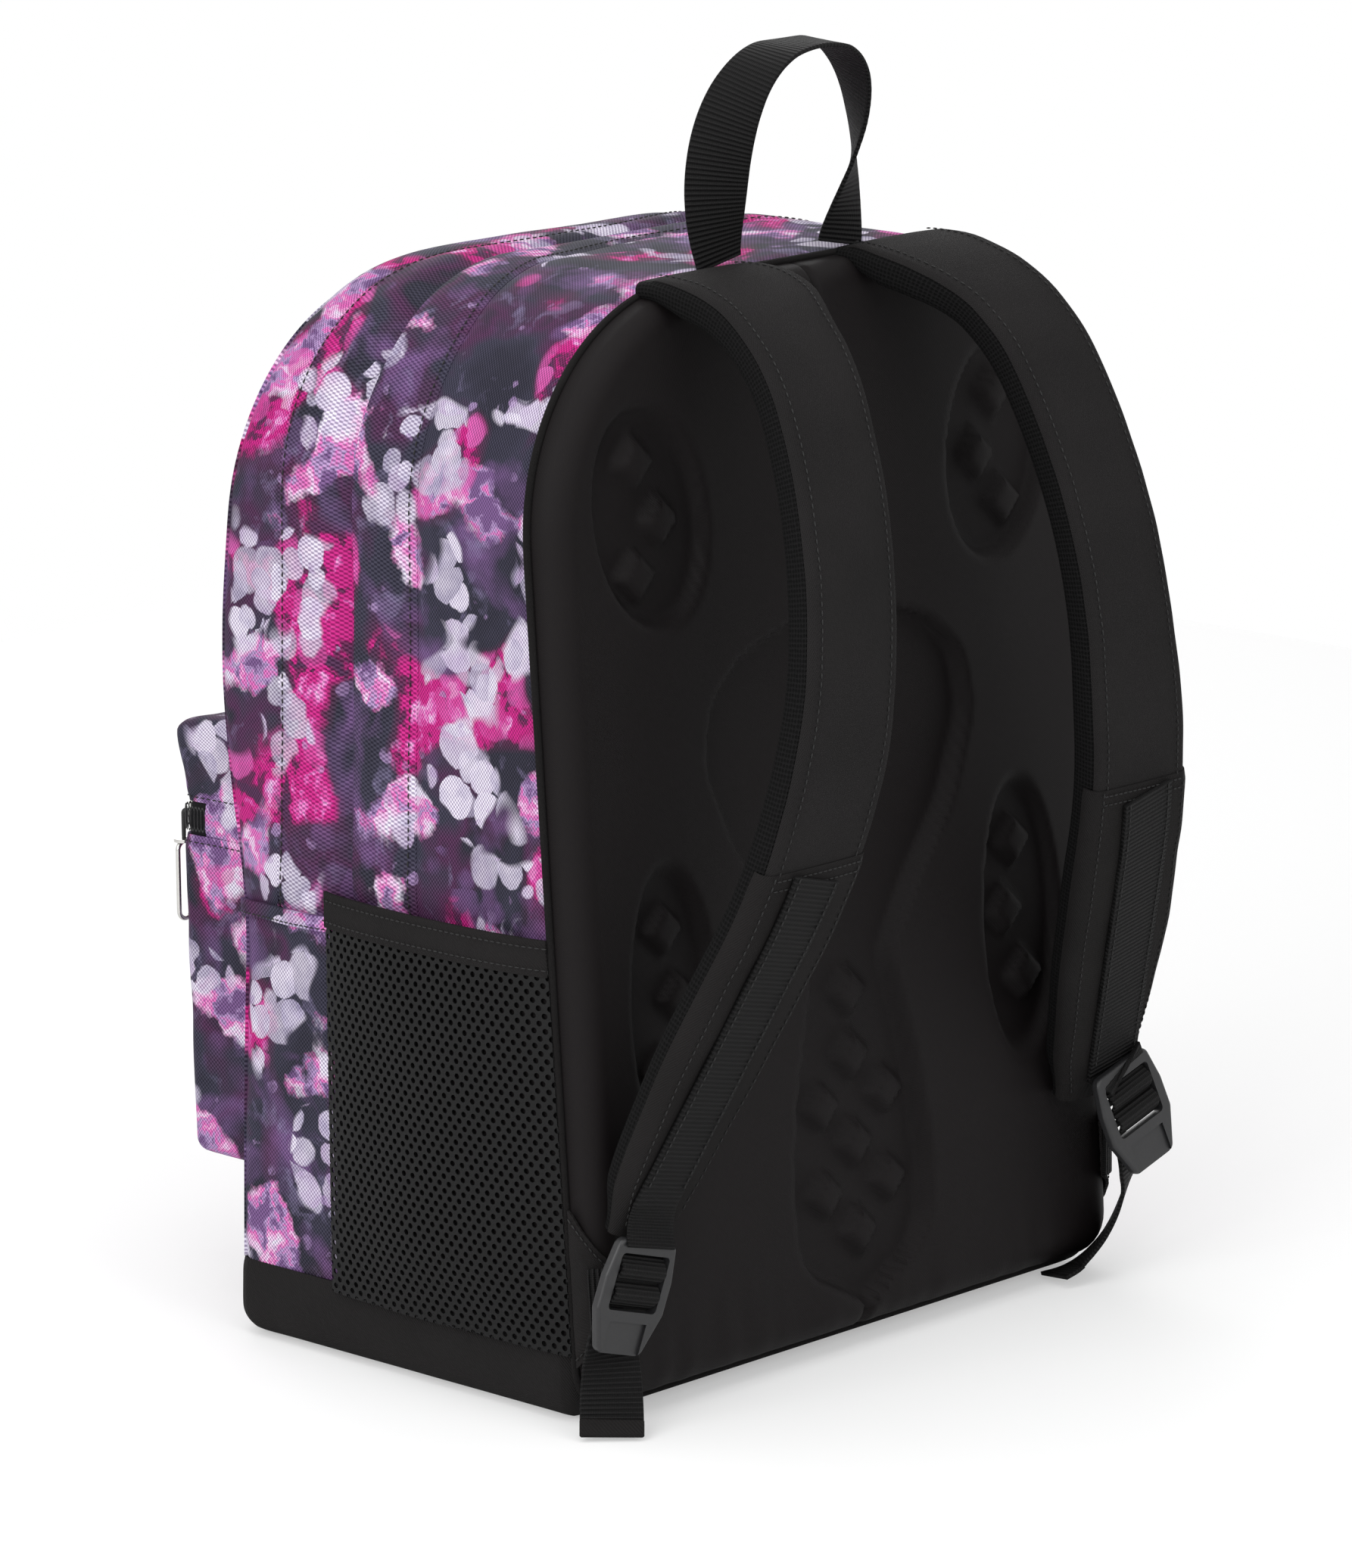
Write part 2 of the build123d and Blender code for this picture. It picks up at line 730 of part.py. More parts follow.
def webbing_tail(points, plane):
    """Loose webbing: a strip along points drawn on a plane, its width along the plane's Z."""
    with BuildPart() as tail:
        with BuildLine(plane) as middle:
            Spline(*points)
        route = middle.wire()
        with BuildSketch(Plane(origin=route @ 0, x_dir=plane.z_dir, z_dir=route % 0)):
            Rectangle(webbing, webbing_thickness)
        sweep(path=route)
    return tail.part


facing = Vector(cos(radians(tail_facing)), sin(radians(tail_facing)), 0)
tail_plane = Plane(origin=(0, 0, 0), x_dir=facing, z_dir=facing.cross(Vector(0, 0, 1)))
for side, name, place, lean_out, points, tail_on in (
    (1, "right", lock_right, lock_right_lean, tail_right, tail_plane.offset(tail_right_aside)),
    (-1, "left", lock_left, lock_left_lean, tail_left, Plane.YZ.offset(tail_left_x)),
):
    plane = lock_plane((place[0], strap_face(place[2]) + place[1], place[2]), lean_out, side)
    save(ladder_lock(plane), f"ladder_lock_{name}")
    save(bar_webbing(plane), f"lock_webbing_{name}")
    save(webbing_tail(points, tail_on), f"webbing_tail_{name}")

# ==== wings round the panel's lower corners, with the webbing sewn to them ====

corner = (half_width - 1 - panel_edge_radius, panel_foam_out - panel_edge_radius)
plan = Plane(origin=back_plane.origin, x_dir=(1, 0, 0), z_dir=back_plane.y_dir)
wing_bore = panel_edge_radius + seam_gap + 0.1


def corner_wrap(radius, thickness, turns, floor, top):
    """A layer that wraps the back panel's right corner, between two angles and two heights."""
    with BuildPart() as wrap:
        with BuildSketch(plan.offset(floor)) as ring:
            with Locations(corner):
                Circle(radius + thickness)
                Circle(radius, mode=Mode.SUBTRACT)
            with BuildLine() as sector:
                reach = 3 * radius
                first = (
                    corner[0] + reach * cos(radians(turns[0])),
                    corner[1] + reach * sin(radians(turns[0])),
                )
                last = (
                    corner[0] + reach * cos(radians(turns[1])),
                    corner[1] + reach * sin(radians(turns[1])),
                )
                Polyline(corner, first, (corner[0] + reach, corner[1] + reach), last, close=True)
            make_face(sector.edges(), mode=Mode.INTERSECT)
        extrude(amount=top - floor)
    return wrap.part


diagonal = Plane(origin=plan.from_local_coords(Vector(*corner, 0)), x_dir=(-1, 1, 0), z_dir=(1, 1, 0))
wing_reach = wing_bore * sin(radians(45)) + 1.5
with BuildPart() as wing:
    add(corner_wrap(wing_bore, wing_cloth, (0, wing_turn), wing_foot - 2, wing_top + 2))
    with BuildSketch(diagonal) as wing_shape:
        with BuildLine():
            Polyline(
                (-wing_reach, wing_foot),
                (-wing_reach, wing_top),
                (wing_reach, wing_tip_top),
                (wing_reach, wing_tip_foot),
                close=True,
            )
        make_face()
    extrude(amount=far, both=True, mode=Mode.INTERSECT)

adjuster_radius = wing_bore + wing_cloth + seam_gap
adjuster_top = wing_tip_foot + webbing
adjuster = corner_wrap(adjuster_radius, webbing_thickness, adjuster_turn, wing_tip_foot, adjuster_top)
for name, solid in (("wing", wing.part), ("adjuster_webbing", adjuster)):
    save(solid, f"{name}_right")
    with BuildPart() as mirrored:
        mirror(solid, about=Plane.YZ)
    save(mirrored.part, f"{name}_left")

# ==== zip sliders and their pulls ====


slider_top = slider_gap + slider_plate  # above the coil's crown
cord_off = slider_top + slider_gap + cord / 2


def zip_slider(crown, along, out, aside):
    """A slider on a coil, with its bail: crown is the point on the coil that it straddles."""
    plane = Plane(origin=crown + out * slider_gap, x_dir=along, z_dir=out)
    hole = Plane(origin=crown + out * slider_top, x_dir=aside, z_dir=out)
    flange = (slider_width - coil_width) / 2 - slider_gap
    bore = cord + 2 * slider_gap
    with BuildPart() as slider:
        with BuildSketch(plane):
            RectangleRounded(slider_length, slider_width, slider_corner)
        extrude(amount=slider_plate)
        with BuildSketch(plane):
            with Locations((0, (slider_width - flange) / 2), (0, (flange - slider_width) / 2)):
                Rectangle(slider_length - 2 * slider_corner, flange)
        extrude(amount=-coil_height)
        with BuildSketch(hole):
            Rectangle(bail_width, bail_length)
        extrude(amount=bore + bail_wall)
        with BuildSketch(hole):
            Rectangle(2 * bail_width, bail_length - 2 * bail_wall)
        extrude(amount=bore, mode=Mode.SUBTRACT)
    return slider.part


def pull_cord(points):
    """The cord through the bail, out past the cloth and down to the pull."""
    with BuildPart() as part:
        with BuildLine() as bends:
            FilletPolyline(*points, radius=cord_bend)
        route = bends.wire()
        with BuildSketch(Plane(origin=route @ 0, z_dir=route % 0)):
            Circle(cord / 2)
        sweep(path=route)
    return part.part


def pull_link(top, aside):
    """The pull: a long wire link hanging from a small round head."""
    plane = Plane(origin=top, x_dir=aside, z_dir=aside.cross(Vector(0, 0, 1)))
    half = (pull_width - pull_wire) / 2
    low = half + pull_wire / 2 - pull_length
    high = -pull_head_thickness - half
    with BuildPart() as link:
        with BuildLine(plane) as loop:
            rise = Line((half, low), (half, high))
            crest = JernArc(rise @ 1, rise % 1, half, 180)
            fall = Line(crest @ 1, plane.from_local_coords((-half, low)))
            JernArc(fall @ 1, fall % 1, half, 180)
        route = loop.wire()
        with BuildSketch(Plane(origin=route @ 0, z_dir=route % 0)):
            Circle(pull_wire / 2)
        sweep(path=route)
        with BuildSketch(Plane.XY.offset(top.Z)):
            with Locations((top.X, top.Y)):
                Circle(pull_head)
        extrude(amount=-pull_head_thickness)
    return link.part


side_crown = half_width - zip_recess + coil_height
pocket_crown = pocket_front(pocket_zip_middle + slider_width / 2) + pocket_coil_proud
left_way = Vector(-1, 0, 0)
front_way = Vector(0, -1, 0)
up_way = Vector(0, 0, 1)
side_hang = half_width + seam_gap + pull_head - side_crown - cord_off
side_stub = coil_cover + cord_aside
pocket_stub = bail_width / 2 + cord_aside
pocket_hang = 2 * cord_bend + seam_gap
front_at = Vector(-side_crown, front_coil, front_slider_height)
main_at = Vector(-side_crown, main_coil, main_slider_height)
pocket_at = Vector(pocket_slider_x, -pocket_crown, pocket_zip_middle)
for name, crown, along, out, aside, stub, hang in (
    ("front_zip", front_at, up_way, left_way, -front_way, side_stub, side_hang),
    ("main_zip", main_at, up_way, left_way, front_way, side_stub, side_hang),
    ("pocket_zip", pocket_at, -left_way, front_way, -left_way, pocket_stub, pocket_hang),
):
    save(zip_slider(crown, along, out, aside), f"{name}_slider")
    middle = crown + out * cord_off
    corner_in = middle + aside * stub
    corner_out = corner_in + out * hang
    end = corner_out - up_way * cord_length
    save(pull_cord([middle - aside * bail_width, corner_in, corner_out, end]), f"{name}_pull_cord")
    save(pull_link(end, aside), f"{name}_pull")
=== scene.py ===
import math

import bmesh
import bpy
from mathutils import Matrix, Vector, noise


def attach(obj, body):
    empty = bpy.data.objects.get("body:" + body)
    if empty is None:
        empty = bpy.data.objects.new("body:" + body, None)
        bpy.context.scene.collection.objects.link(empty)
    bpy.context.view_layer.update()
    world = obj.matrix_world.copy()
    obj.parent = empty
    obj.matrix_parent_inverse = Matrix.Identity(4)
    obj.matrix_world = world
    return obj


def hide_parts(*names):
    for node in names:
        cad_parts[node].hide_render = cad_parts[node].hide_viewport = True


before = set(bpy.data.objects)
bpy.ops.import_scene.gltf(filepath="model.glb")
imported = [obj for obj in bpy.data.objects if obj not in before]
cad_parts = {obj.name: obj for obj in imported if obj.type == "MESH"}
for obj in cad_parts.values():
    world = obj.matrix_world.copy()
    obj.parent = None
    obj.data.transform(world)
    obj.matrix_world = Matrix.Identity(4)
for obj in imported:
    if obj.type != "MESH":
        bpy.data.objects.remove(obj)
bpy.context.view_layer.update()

print("school backpack: CAD frame loaded")


def clearSelection():
    if bpy.context.object and bpy.context.object.mode != "OBJECT":
        bpy.ops.object.mode_set(mode="OBJECT")
    bpy.ops.object.select_all(action="DESELECT")


def pick(piece):
    clearSelection()
    piece.select_set(True)
    bpy.context.view_layer.objects.active = piece


def smooth(low, high, value):
    share = max(0.0, min(1.0, (value - low) / (high - low)))
    return share * share * (3 - 2 * share)


def mix(first, last, share):
    return first + (last - first) * share


def alongTable(table, at):
    # eased value between the rows (place, value) of a short table
    if at <= table[0][0]:
        return table[0][1]
    for (low, first), (high, last) in zip(table, table[1:]):
        if at <= high:
            return mix(first, last, (at - low) / (high - low))
    return table[-1][1]


def softTable(table, at, reach):
    # the same, rounded off over a reach on each side
    return sum(alongTable(table, at + reach * step) for step in (-1, -0.5, 0, 0.5, 1)) / 5


def applyAll(piece):
    pick(piece)
    for modifier in list(piece.modifiers):
        bpy.ops.object.modifier_apply(modifier=modifier.name)


def thicken(piece, depth, offset=-1.0):
    modifier = piece.modifiers.new("thickness", "SOLIDIFY")
    modifier.thickness = depth
    modifier.offset = offset
    modifier.use_even_offset = False
    applyAll(piece)


def roundEdges(piece, width, segments, angle):
    modifier = piece.modifiers.new("edge", "BEVEL")
    modifier.width = width
    modifier.segments = segments
    modifier.limit_method = "ANGLE"
    modifier.angle_limit = math.radians(angle)
    applyAll(piece)


def divide(piece):
    modifier = piece.modifiers.new("rounder", "SUBSURF")
    modifier.levels = modifier.render_levels = 1
    applyAll(piece)


def editWhole(piece, operator, **settings):
    # one edit-mode operator over all of a piece
    pick(piece)
    bpy.ops.object.mode_set(mode="EDIT")
    bpy.ops.mesh.select_all(action="SELECT")
    operator(**settings)
    bpy.ops.object.mode_set(mode="OBJECT")


def faceAway(piece, centre):
    # turns the faces of an open sheet away from a point behind it
    mesh = piece.data
    away = sum((face.center - Vector(centre)).dot(face.normal) * face.area for face in mesh.polygons)
    if away < 0:
        editWhole(piece, bpy.ops.mesh.flip_normals)


def shares(count):
    # even steps from 0 to 1, both ends included
    return [index / count for index in range(count + 1)]


def addPiece(name, mesh):
    piece = bpy.data.objects.new(name, mesh)
    bpy.context.collection.objects.link(piece)
    return piece


def layGrid(name, countU, countV, place, flat, wrap=False):
    # a grid whose corners are moved to place(u, v); its UV map is the flat cloth in metres
    clearSelection()
    bpy.ops.mesh.primitive_grid_add(x_subdivisions=countU, y_subdivisions=countV, size=2)
    piece = bpy.context.object
    piece.name = piece.data.name = name
    mesh = piece.data
    shares = [((vert.co.x + 1) / 2, (vert.co.y + 1) / 2) for vert in mesh.vertices]
    marks = mesh.uv_layers.active.data
    for loop in mesh.loops:
        u, v = shares[loop.vertex_index]
        marks[loop.index].uv = (u * flat[0], v * flat[1])
    for vert, (u, v) in zip(mesh.vertices, shares):
        vert.co = place(u, v)
    if wrap:
        editWhole(piece, bpy.ops.mesh.remove_doubles, threshold=0.00002)
    mesh.update()
    return piece


def finishPiece(piece, body, material, slotName, *nodes, angle=None):
    pick(piece)
    piece.data.materials.clear()
    piece.data.materials.append(material)
    if angle:
        bpy.ops.object.shade_smooth_by_angle(angle=math.radians(angle))
    else:
        bpy.ops.object.shade_smooth()
    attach(piece, body)
    if nodes:
        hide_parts(*nodes)
    return piece


def finishSheet(piece, centre, thick, body, material, slotName, *nodes, rounder=False, offset=-1.0, angle=60):
    # an open sheet: faced away from its inside, smoothed, given the cloth's thickness and finished
    faceAway(piece, centre)
    if rounder:
        divide(piece)
    thicken(piece, thick, offset)
    return finishPiece(piece, body, material, slotName, *nodes, angle=angle)


def repeatShape(name, seed, spots):
    # one mesh holding a copy of a small shape at each spot: (place, along, out)
    corners, faces = [], []
    shape = [vert.co.copy() for vert in seed.data.vertices]
    sides = [tuple(face.vertices) for face in seed.data.polygons]
    for place, along, out in spots:
        along = along.normalized()
        across = out.cross(along).normalized()
        turn = Matrix((along, across, along.cross(across))).transposed()
        start = len(corners)
        corners += [place + turn @ corner for corner in shape]
        faces += [tuple(start + index for index in side) for side in sides]
    mesh = bpy.data.meshes.new(name)
    mesh.from_pydata(corners, [], faces)
    return addPiece(name, mesh)


# the camera looks along the line from its place to its aim
cameraSetup = {"place": (2.2021, 2.1010, 0.9120), "aim": (-0.0020, 0.0024, 0.2167), "lens": 176.4,
               "roll": -0.496, "sensor": 36, "farClip": 50}
bpy.ops.object.camera_add(location=cameraSetup["place"])
camera = bpy.context.object
view = Vector(cameraSetup["aim"]) - Vector(cameraSetup["place"])
roll = Matrix.Rotation(math.radians(cameraSetup["roll"]), 4, "Z")
camera.rotation_euler = (view.to_track_quat("-Z", "Y").to_matrix().to_4x4() @ roll).to_euler()
camera.data.lens = cameraSetup["lens"]
camera.data.sensor_width = cameraSetup["sensor"]
camera.data.clip_end = cameraSetup["farClip"]
bpy.context.scene.camera = camera
bpy.context.scene.view_settings.view_transform = "Standard"

# white is how far the camera sees the floor as plain white, dim the world's share of light off it
stage = {"size": 2.4, "shade": (0.98, 0.98, 0.98), "white": 0.38, "dim": 0.4, "lampAim": (0, 0, 0.2)}
lamps = [
    # name, place, size, watts
    ("overhead", (0.5, 0.3, 2.6), 2.4, 34),
    ("nearSide", (2.4, 0.3, 1.3), 1.6, 34),
    ("wearerSide", (0.2, 2.6, 1.5), 1.6, 20),
    ("frontSide", (-1.6, -2.2, 1.6), 1.8, 22),
    ("grazing", (1.9, 1.15, 0.75), 0.5, 6),
]

clearSelection()
bpy.ops.mesh.primitive_plane_add(size=stage["size"], location=(0, 0, 0))
floor = bpy.context.object
floor.name = "studioFloor"
for lampName, place, size, watts in lamps:
    bpy.ops.object.light_add(type="AREA", location=place)
    lamp = bpy.context.object
    lamp.name = lampName
    lamp.data.size = size
    lamp.data.energy = watts
    lamp.rotation_euler = (Vector(stage["lampAim"]) - Vector(place)).to_track_quat("-Z", "Y").to_euler()


def newMaterial(name, roughness=0.8, colour=None, **settings):
    material = bpy.data.materials.new(name)
    material.use_nodes = True
    shader = material.node_tree.nodes["Principled BSDF"]
    shader.inputs["Roughness"].default_value = roughness
    if colour:
        shader.inputs["Base Color"].default_value = (*colour, 1)
    for socket, value in settings.items():
        shader.inputs[socket.replace("_", " ")].default_value = value
    return material, material.node_tree, shader


def feed(tree, socket, value):
    # links a socket, or sets a plain value or colour on it
    if isinstance(value, bpy.types.NodeSocket):
        tree.links.new(value, socket)
    else:
        socket.default_value = value


def addNode(tree, kind, settings=None, **inputs):
    # i0, i1 and so on are inputs by number, the rest by name
    node = tree.nodes.new(kind)
    for key, value in (settings or {}).items():
        setattr(node, key, value)
    for key, value in inputs.items():
        numbered = key[0] == "i" and key[1:].isdigit()
        feed(tree, node.inputs[int(key[1:]) if numbered else key.replace("_", " ")], value)
    return node


def maths(tree, operation, first, second=0.0, third=0.0):
    return addNode(tree, "ShaderNodeMath", {"operation": operation}, i0=first, i1=second, i2=third).outputs[0]


def ramp(tree, factor, stops):
    node = addNode(tree, "ShaderNodeValToRGB", Fac=factor)
    marks = node.color_ramp.elements
    while len(marks) < len(stops):
        marks.new(0.5)
    for mark, (place, colour) in zip(marks, stops):
        mark.position = place
        mark.color = (*colour, 1) if len(colour) == 3 else colour
    return node.outputs[0]


def mixColour(tree, factor, first, second, blend="MIX"):
    node = addNode(tree, "ShaderNodeMix", {"data_type": "RGBA", "blend_type": blend})
    for socket, value in zip((node.inputs[0], node.inputs[6], node.inputs[7]), (factor, first, second)):
        feed(tree, socket, (*value, 1) if isinstance(value, tuple) else value)
    return node.outputs[2]


world = bpy.data.worlds.new("studio")
bpy.context.scene.world = world
world.use_nodes = True
tree = world.node_tree
light = addNode(tree, "ShaderNodeLightPath")
seen = maths(tree, "MAXIMUM", light.outputs["Is Camera Ray"], light.outputs["Is Glossy Ray"])
strength = maths(tree, "MULTIPLY_ADD", seen, 1 - stage["dim"], stage["dim"])
tree.links.new(strength, tree.nodes["Background"].inputs["Strength"])
tree.nodes["Background"].inputs["Color"].default_value = (1, 1, 1, 1)

floorMaterial, tree, shader = newMaterial("studioFloor", 0.9, stage["shade"])
light = addNode(tree, "ShaderNodeLightPath")
glow = addNode(tree, "ShaderNodeEmission", Strength=1.0)
blend = addNode(tree, "ShaderNodeMixShader", i1=shader.outputs[0], i2=glow.outputs[0])
share = maths(tree, "MULTIPLY", light.outputs["Is Camera Ray"], stage["white"])
tree.links.new(share, blend.inputs[0])
tree.links.new(blend.outputs[0], tree.nodes["Material Output"].inputs["Surface"])
floor.data.materials.append(floorMaterial)


def newGroup(name, inputs, outputs):
    group = bpy.data.node_groups.new(name, "ShaderNodeTree")
    for socket, kind, value in inputs:
        made = group.interface.new_socket(socket, in_out="INPUT", socket_type=kind)
        if value is not None:
            made.default_value = value
    for socket, kind in outputs:
        group.interface.new_socket(socket, in_out="OUTPUT", socket_type=kind)
    return group, group.nodes.new("NodeGroupInput"), group.nodes.new("NodeGroupOutput")


def useGroup(tree, group, **inputs):
    node = tree.nodes.new("ShaderNodeGroup")
    node.node_tree = group
    for key, value in inputs.items():
        feed(tree, node.inputs[key], value)
    return node


fullTurn = 6.2832

# weave: crossing threads at a pitch in metres, slanted towards a twill by Slant
weave, given, made = newGroup(
    "weave",
    [("Vector", "NodeSocketVector", None), ("Pitch", "NodeSocketFloat", 0.001),
     ("Slant", "NodeSocketFloat", 0.0)],
    [("Height", "NodeSocketFloat")],
)
parts = addNode(weave, "ShaderNodeSeparateXYZ", Vector=given.outputs["Vector"])
turns = maths(weave, "DIVIDE", fullTurn, given.outputs["Pitch"])
across = maths(weave, "SINE", maths(weave, "MULTIPLY", parts.outputs[0], turns))
along = maths(weave, "SINE", maths(weave, "MULTIPLY", parts.outputs[1], turns))
crossed = maths(weave, "MULTIPLY", across, along)
summed = maths(weave, "ADD", parts.outputs[0], parts.outputs[1])
slanted = maths(weave, "SINE", maths(weave, "MULTIPLY", summed, turns))
plain = maths(weave, "MULTIPLY", crossed, maths(weave, "SUBTRACT", 1.0, given.outputs["Slant"]))
twill = maths(weave, "MULTIPLY", slanted, given.outputs["Slant"])
woven = maths(weave, "ADD", plain, twill)
weave.links.new(maths(weave, "MULTIPLY_ADD", woven, 0.5, 0.5), made.inputs["Height"])

# petals: overlapping soft discs scattered in space; Tone varies from disc to disc
petals, given, made = newGroup(
    "petals",
    [("Vector", "NodeSocketVector", None), ("Scale", "NodeSocketFloat", 80.0), ("Size", "NodeSocketFloat", 0.4),
     ("Soft", "NodeSocketFloat", 0.03), ("Share", "NodeSocketFloat", 0.5)],
    [("Mask", "NodeSocketFloat"), ("Tone", "NodeSocketFloat"), ("Rim", "NodeSocketFloat")],
)
cells = addNode(petals, "ShaderNodeTexVoronoi", {"voronoi_dimensions": "3D"}, Vector=given.outputs["Vector"],
                Scale=given.outputs["Scale"], Randomness=1.0)
tints = addNode(petals, "ShaderNodeSeparateColor", Color=cells.outputs["Color"])
reach = maths(petals, "MULTIPLY", given.outputs["Size"], maths(petals, "MULTIPLY_ADD", tints.outputs[2], 0.6, 0.7))
inside = maths(petals, "SUBTRACT", reach, cells.outputs["Distance"])
disc = maths(petals, "DIVIDE", inside, given.outputs["Soft"])
disc = addNode(petals, "ShaderNodeClamp", i0=disc).outputs[0]
kept = maths(petals, "LESS_THAN", tints.outputs[0], given.outputs["Share"])
petals.links.new(maths(petals, "MULTIPLY", disc, kept), made.inputs["Mask"])
petals.links.new(tints.outputs[1], made.inputs["Tone"])
petals.links.new(maths(petals, "DIVIDE", cells.outputs["Distance"], reach), made.inputs["Rim"])


def addBump(tree, shader, height, distance, strength):
    bump = addNode(tree, "ShaderNodeBump", Height=height, Distance=distance, Strength=strength)
    tree.links.new(bump.outputs[0], shader.inputs["Normal"])


def clothMaterial(name, colour, pitch, slant, depth, roughness=0.85, specular=0.12, fleck=0.35, useObject=False):
    # plain dyed cloth: thread relief as a bump, a fleck of lighter and darker patches, and painted highlight and
    # shade from the thread relief, the thread tops lighter than the hollows between them
    material, tree, shader = newMaterial(name, roughness, None, Specular_IOR_Level=specular)
    where = addNode(tree, "ShaderNodeTexCoord")
    flat = where.outputs["Object"] if useObject else where.outputs["UV"]
    threads = useGroup(tree, weave, Vector=flat, Pitch=pitch, Slant=slant).outputs["Height"]
    cloud = addNode(tree, "ShaderNodeTexNoise", Vector=where.outputs["Object"], Scale=24.0, Detail=3.0).outputs["Fac"]
    light = tuple(value * (1 + fleck) for value in colour)
    dark = tuple(value * (1 - fleck) for value in colour)
    worn = mixColour(tree, cloud, dark, light)
    # painted highlight and shade: the colour is lifted towards the light tone on the thread tops and left darker in
    # the hollows between the threads
    threadShadeAndHighlight = mixColour(tree, maths(tree, "MULTIPLY_ADD", threads, 0.35, 0.25), worn, light)
    tree.links.new(threadShadeAndHighlight, shader.inputs["Base Color"])
    addBump(tree, shader, threads, depth, 0.6)
    return material


# printed cloth: dusk and plum clouds under ragged magenta and pale blossoms and drifts of round petals
look = {
    "dusk": (0.013, 0.013, 0.026), "slate": (0.030, 0.029, 0.052), "plum": (0.070, 0.015, 0.064),
    "wine": (0.14, 0.007, 0.072), "violet": (0.18, 0.090, 0.24), "magenta": (0.56, 0.007, 0.21),
    "rose": (0.74, 0.13, 0.46), "blush": (0.84, 0.50, 0.74), "lilac": (0.46, 0.31, 0.56),
    "mist": (0.29, 0.25, 0.42), "pearl": (0.78, 0.73, 0.84),
}
printedCloth, tree, shader = newMaterial("printedCloth", 0.75, None, Specular_IOR_Level=0.16)
where = addNode(tree, "ShaderNodeTexCoord")


def shifted(offset):
    return addNode(tree, "ShaderNodeVectorMath", {"operation": "ADD"}, i0=where.outputs["Object"],
                   i1=offset).outputs[0]


def warped(vector, scale, amount):
    # the same places pushed about by a noise field
    push = addNode(tree, "ShaderNodeTexNoise", Vector=vector, Scale=scale, Detail=3.0, Roughness=0.6)
    centred = addNode(tree, "ShaderNodeVectorMath", {"operation": "SUBTRACT"}, i0=push.outputs["Color"],
                      i1=(0.5, 0.5, 0.5))
    return addNode(tree, "ShaderNodeVectorMath", {"operation": "MULTIPLY_ADD"}, i0=centred.outputs[0],
                   i1=(amount, amount, amount), i2=vector).outputs[0]


def field(vector, scale, detail=2.0, distortion=0.0):
    return addNode(tree, "ShaderNodeTexNoise", Vector=vector, Scale=scale, Detail=detail, Roughness=0.55,
                   Distortion=distortion).outputs["Fac"]


def edged(value, low, high):
    return addNode(tree, "ShaderNodeMapRange", Value=value, From_Min=low, From_Max=high).outputs[0]


cloud = field(warped(shifted((0.2, 0.6, 0.1)), 30.0, 0.020), 16.0, 3.0)
ground = ramp(tree, cloud, [(0.36, look["dusk"]), (0.47, look["slate"]), (0.55, look["plum"]),
                            (0.61, look["dusk"]), (0.72, look["slate"])])
haze = field(warped(shifted((1.1, 0.3, 0.7)), 40.0, 0.016), 24.0, 3.0, 0.4)
ground = mixColour(tree, maths(tree, "MULTIPLY", edged(haze, 0.53, 0.68), 0.85), ground, look["violet"])
streak = field(warped(shifted((4.1, 0.3, 2.7)), 70.0, 0.010), 60.0, 3.0, 0.6)
ground = mixColour(tree, maths(tree, "MULTIPLY", edged(streak, 0.58, 0.74), 0.5), ground, look["mist"])


def addBlossoms(colour, offset, scale, low, high, tones):
    # ragged flower heads: their outline and their frills both come from pushed-about noise
    place = warped(shifted(offset), 95.0, 0.012)
    head = edged(field(place, scale, 1.0), low, high)
    frill = field(warped(place, 110.0, 0.008), 62.0, 4.0, 1.0)
    folds = useGroup(tree, petals, Vector=warped(place, 80.0, 0.008), Scale=88.0, Size=0.85, Soft=0.1, Share=1.0)
    tone = maths(tree, "MULTIPLY_ADD", folds.outputs["Rim"], -0.20, maths(tree, "ADD", frill, 0.10))
    return mixColour(tree, head, colour, ramp(tree, tone, tones))


def addPetals(colour, offset, scale, size, soft, share, drift, low, high, dark, light, strength):
    # round petals of one size, crowded where a slow noise field is high; each is cloudy inside
    place = warped(shifted(offset), 60.0, 0.006)
    group = useGroup(tree, petals, Vector=place, Scale=scale, Size=size, Soft=soft, Share=share)
    cloudy = field(place, 100.0, 2.0)
    tone = maths(tree, "MULTIPLY_ADD", group.outputs["Tone"], -0.5, 1.0)
    tone = maths(tree, "ADD", tone, maths(tree, "MULTIPLY", group.outputs["Rim"], -0.25))
    tone = maths(tree, "ADD", tone, maths(tree, "MULTIPLY_ADD", cloudy, 1.6, -0.65))
    tone = addNode(tree, "ShaderNodeClamp", i0=tone).outputs[0]
    seen = maths(tree, "MULTIPLY", maths(tree, "MULTIPLY_ADD", group.outputs["Tone"], -0.30, 1.0), strength)
    crowd = maths(tree, "MULTIPLY", group.outputs["Mask"], edged(drift, low, high))
    return mixColour(tree, maths(tree, "MULTIPLY", crowd, seen), colour, mixColour(tree, tone, dark, light))


pinkDrift = field(shifted((3.1, 0.4, 1.7)), 19.0, 1.0)
paleDrift = field(shifted((7.3, 5.2, 0.9)), 19.0, 1.5)
printed = mixColour(tree, maths(tree, "MULTIPLY", edged(pinkDrift, 0.52, 0.62), 0.8), ground, look["wine"])
printed = addPetals(printed, (0.9, 0.5, 0.4), 56.0, 0.42, 0.12, 0.9, cloud, 0.46, 0.54, look["slate"],
                    look["violet"], 0.6)
printed = addBlossoms(printed, (3.1, 0.4, 1.7), 19.0, 0.560, 0.60,
                      [(0.34, look["plum"]), (0.43, look["wine"]), (0.48, look["magenta"]), (0.57, look["magenta"]),
                       (0.64, look["rose"]), (0.72, look["blush"])])
printed = addBlossoms(printed, (7.9, 2.2, 4.9), 21.0, 0.585, 0.62,
                      [(0.34, look["violet"]), (0.43, look["lilac"]), (0.49, look["rose"]),
                       (0.56, look["blush"]), (0.66, look["pearl"])])
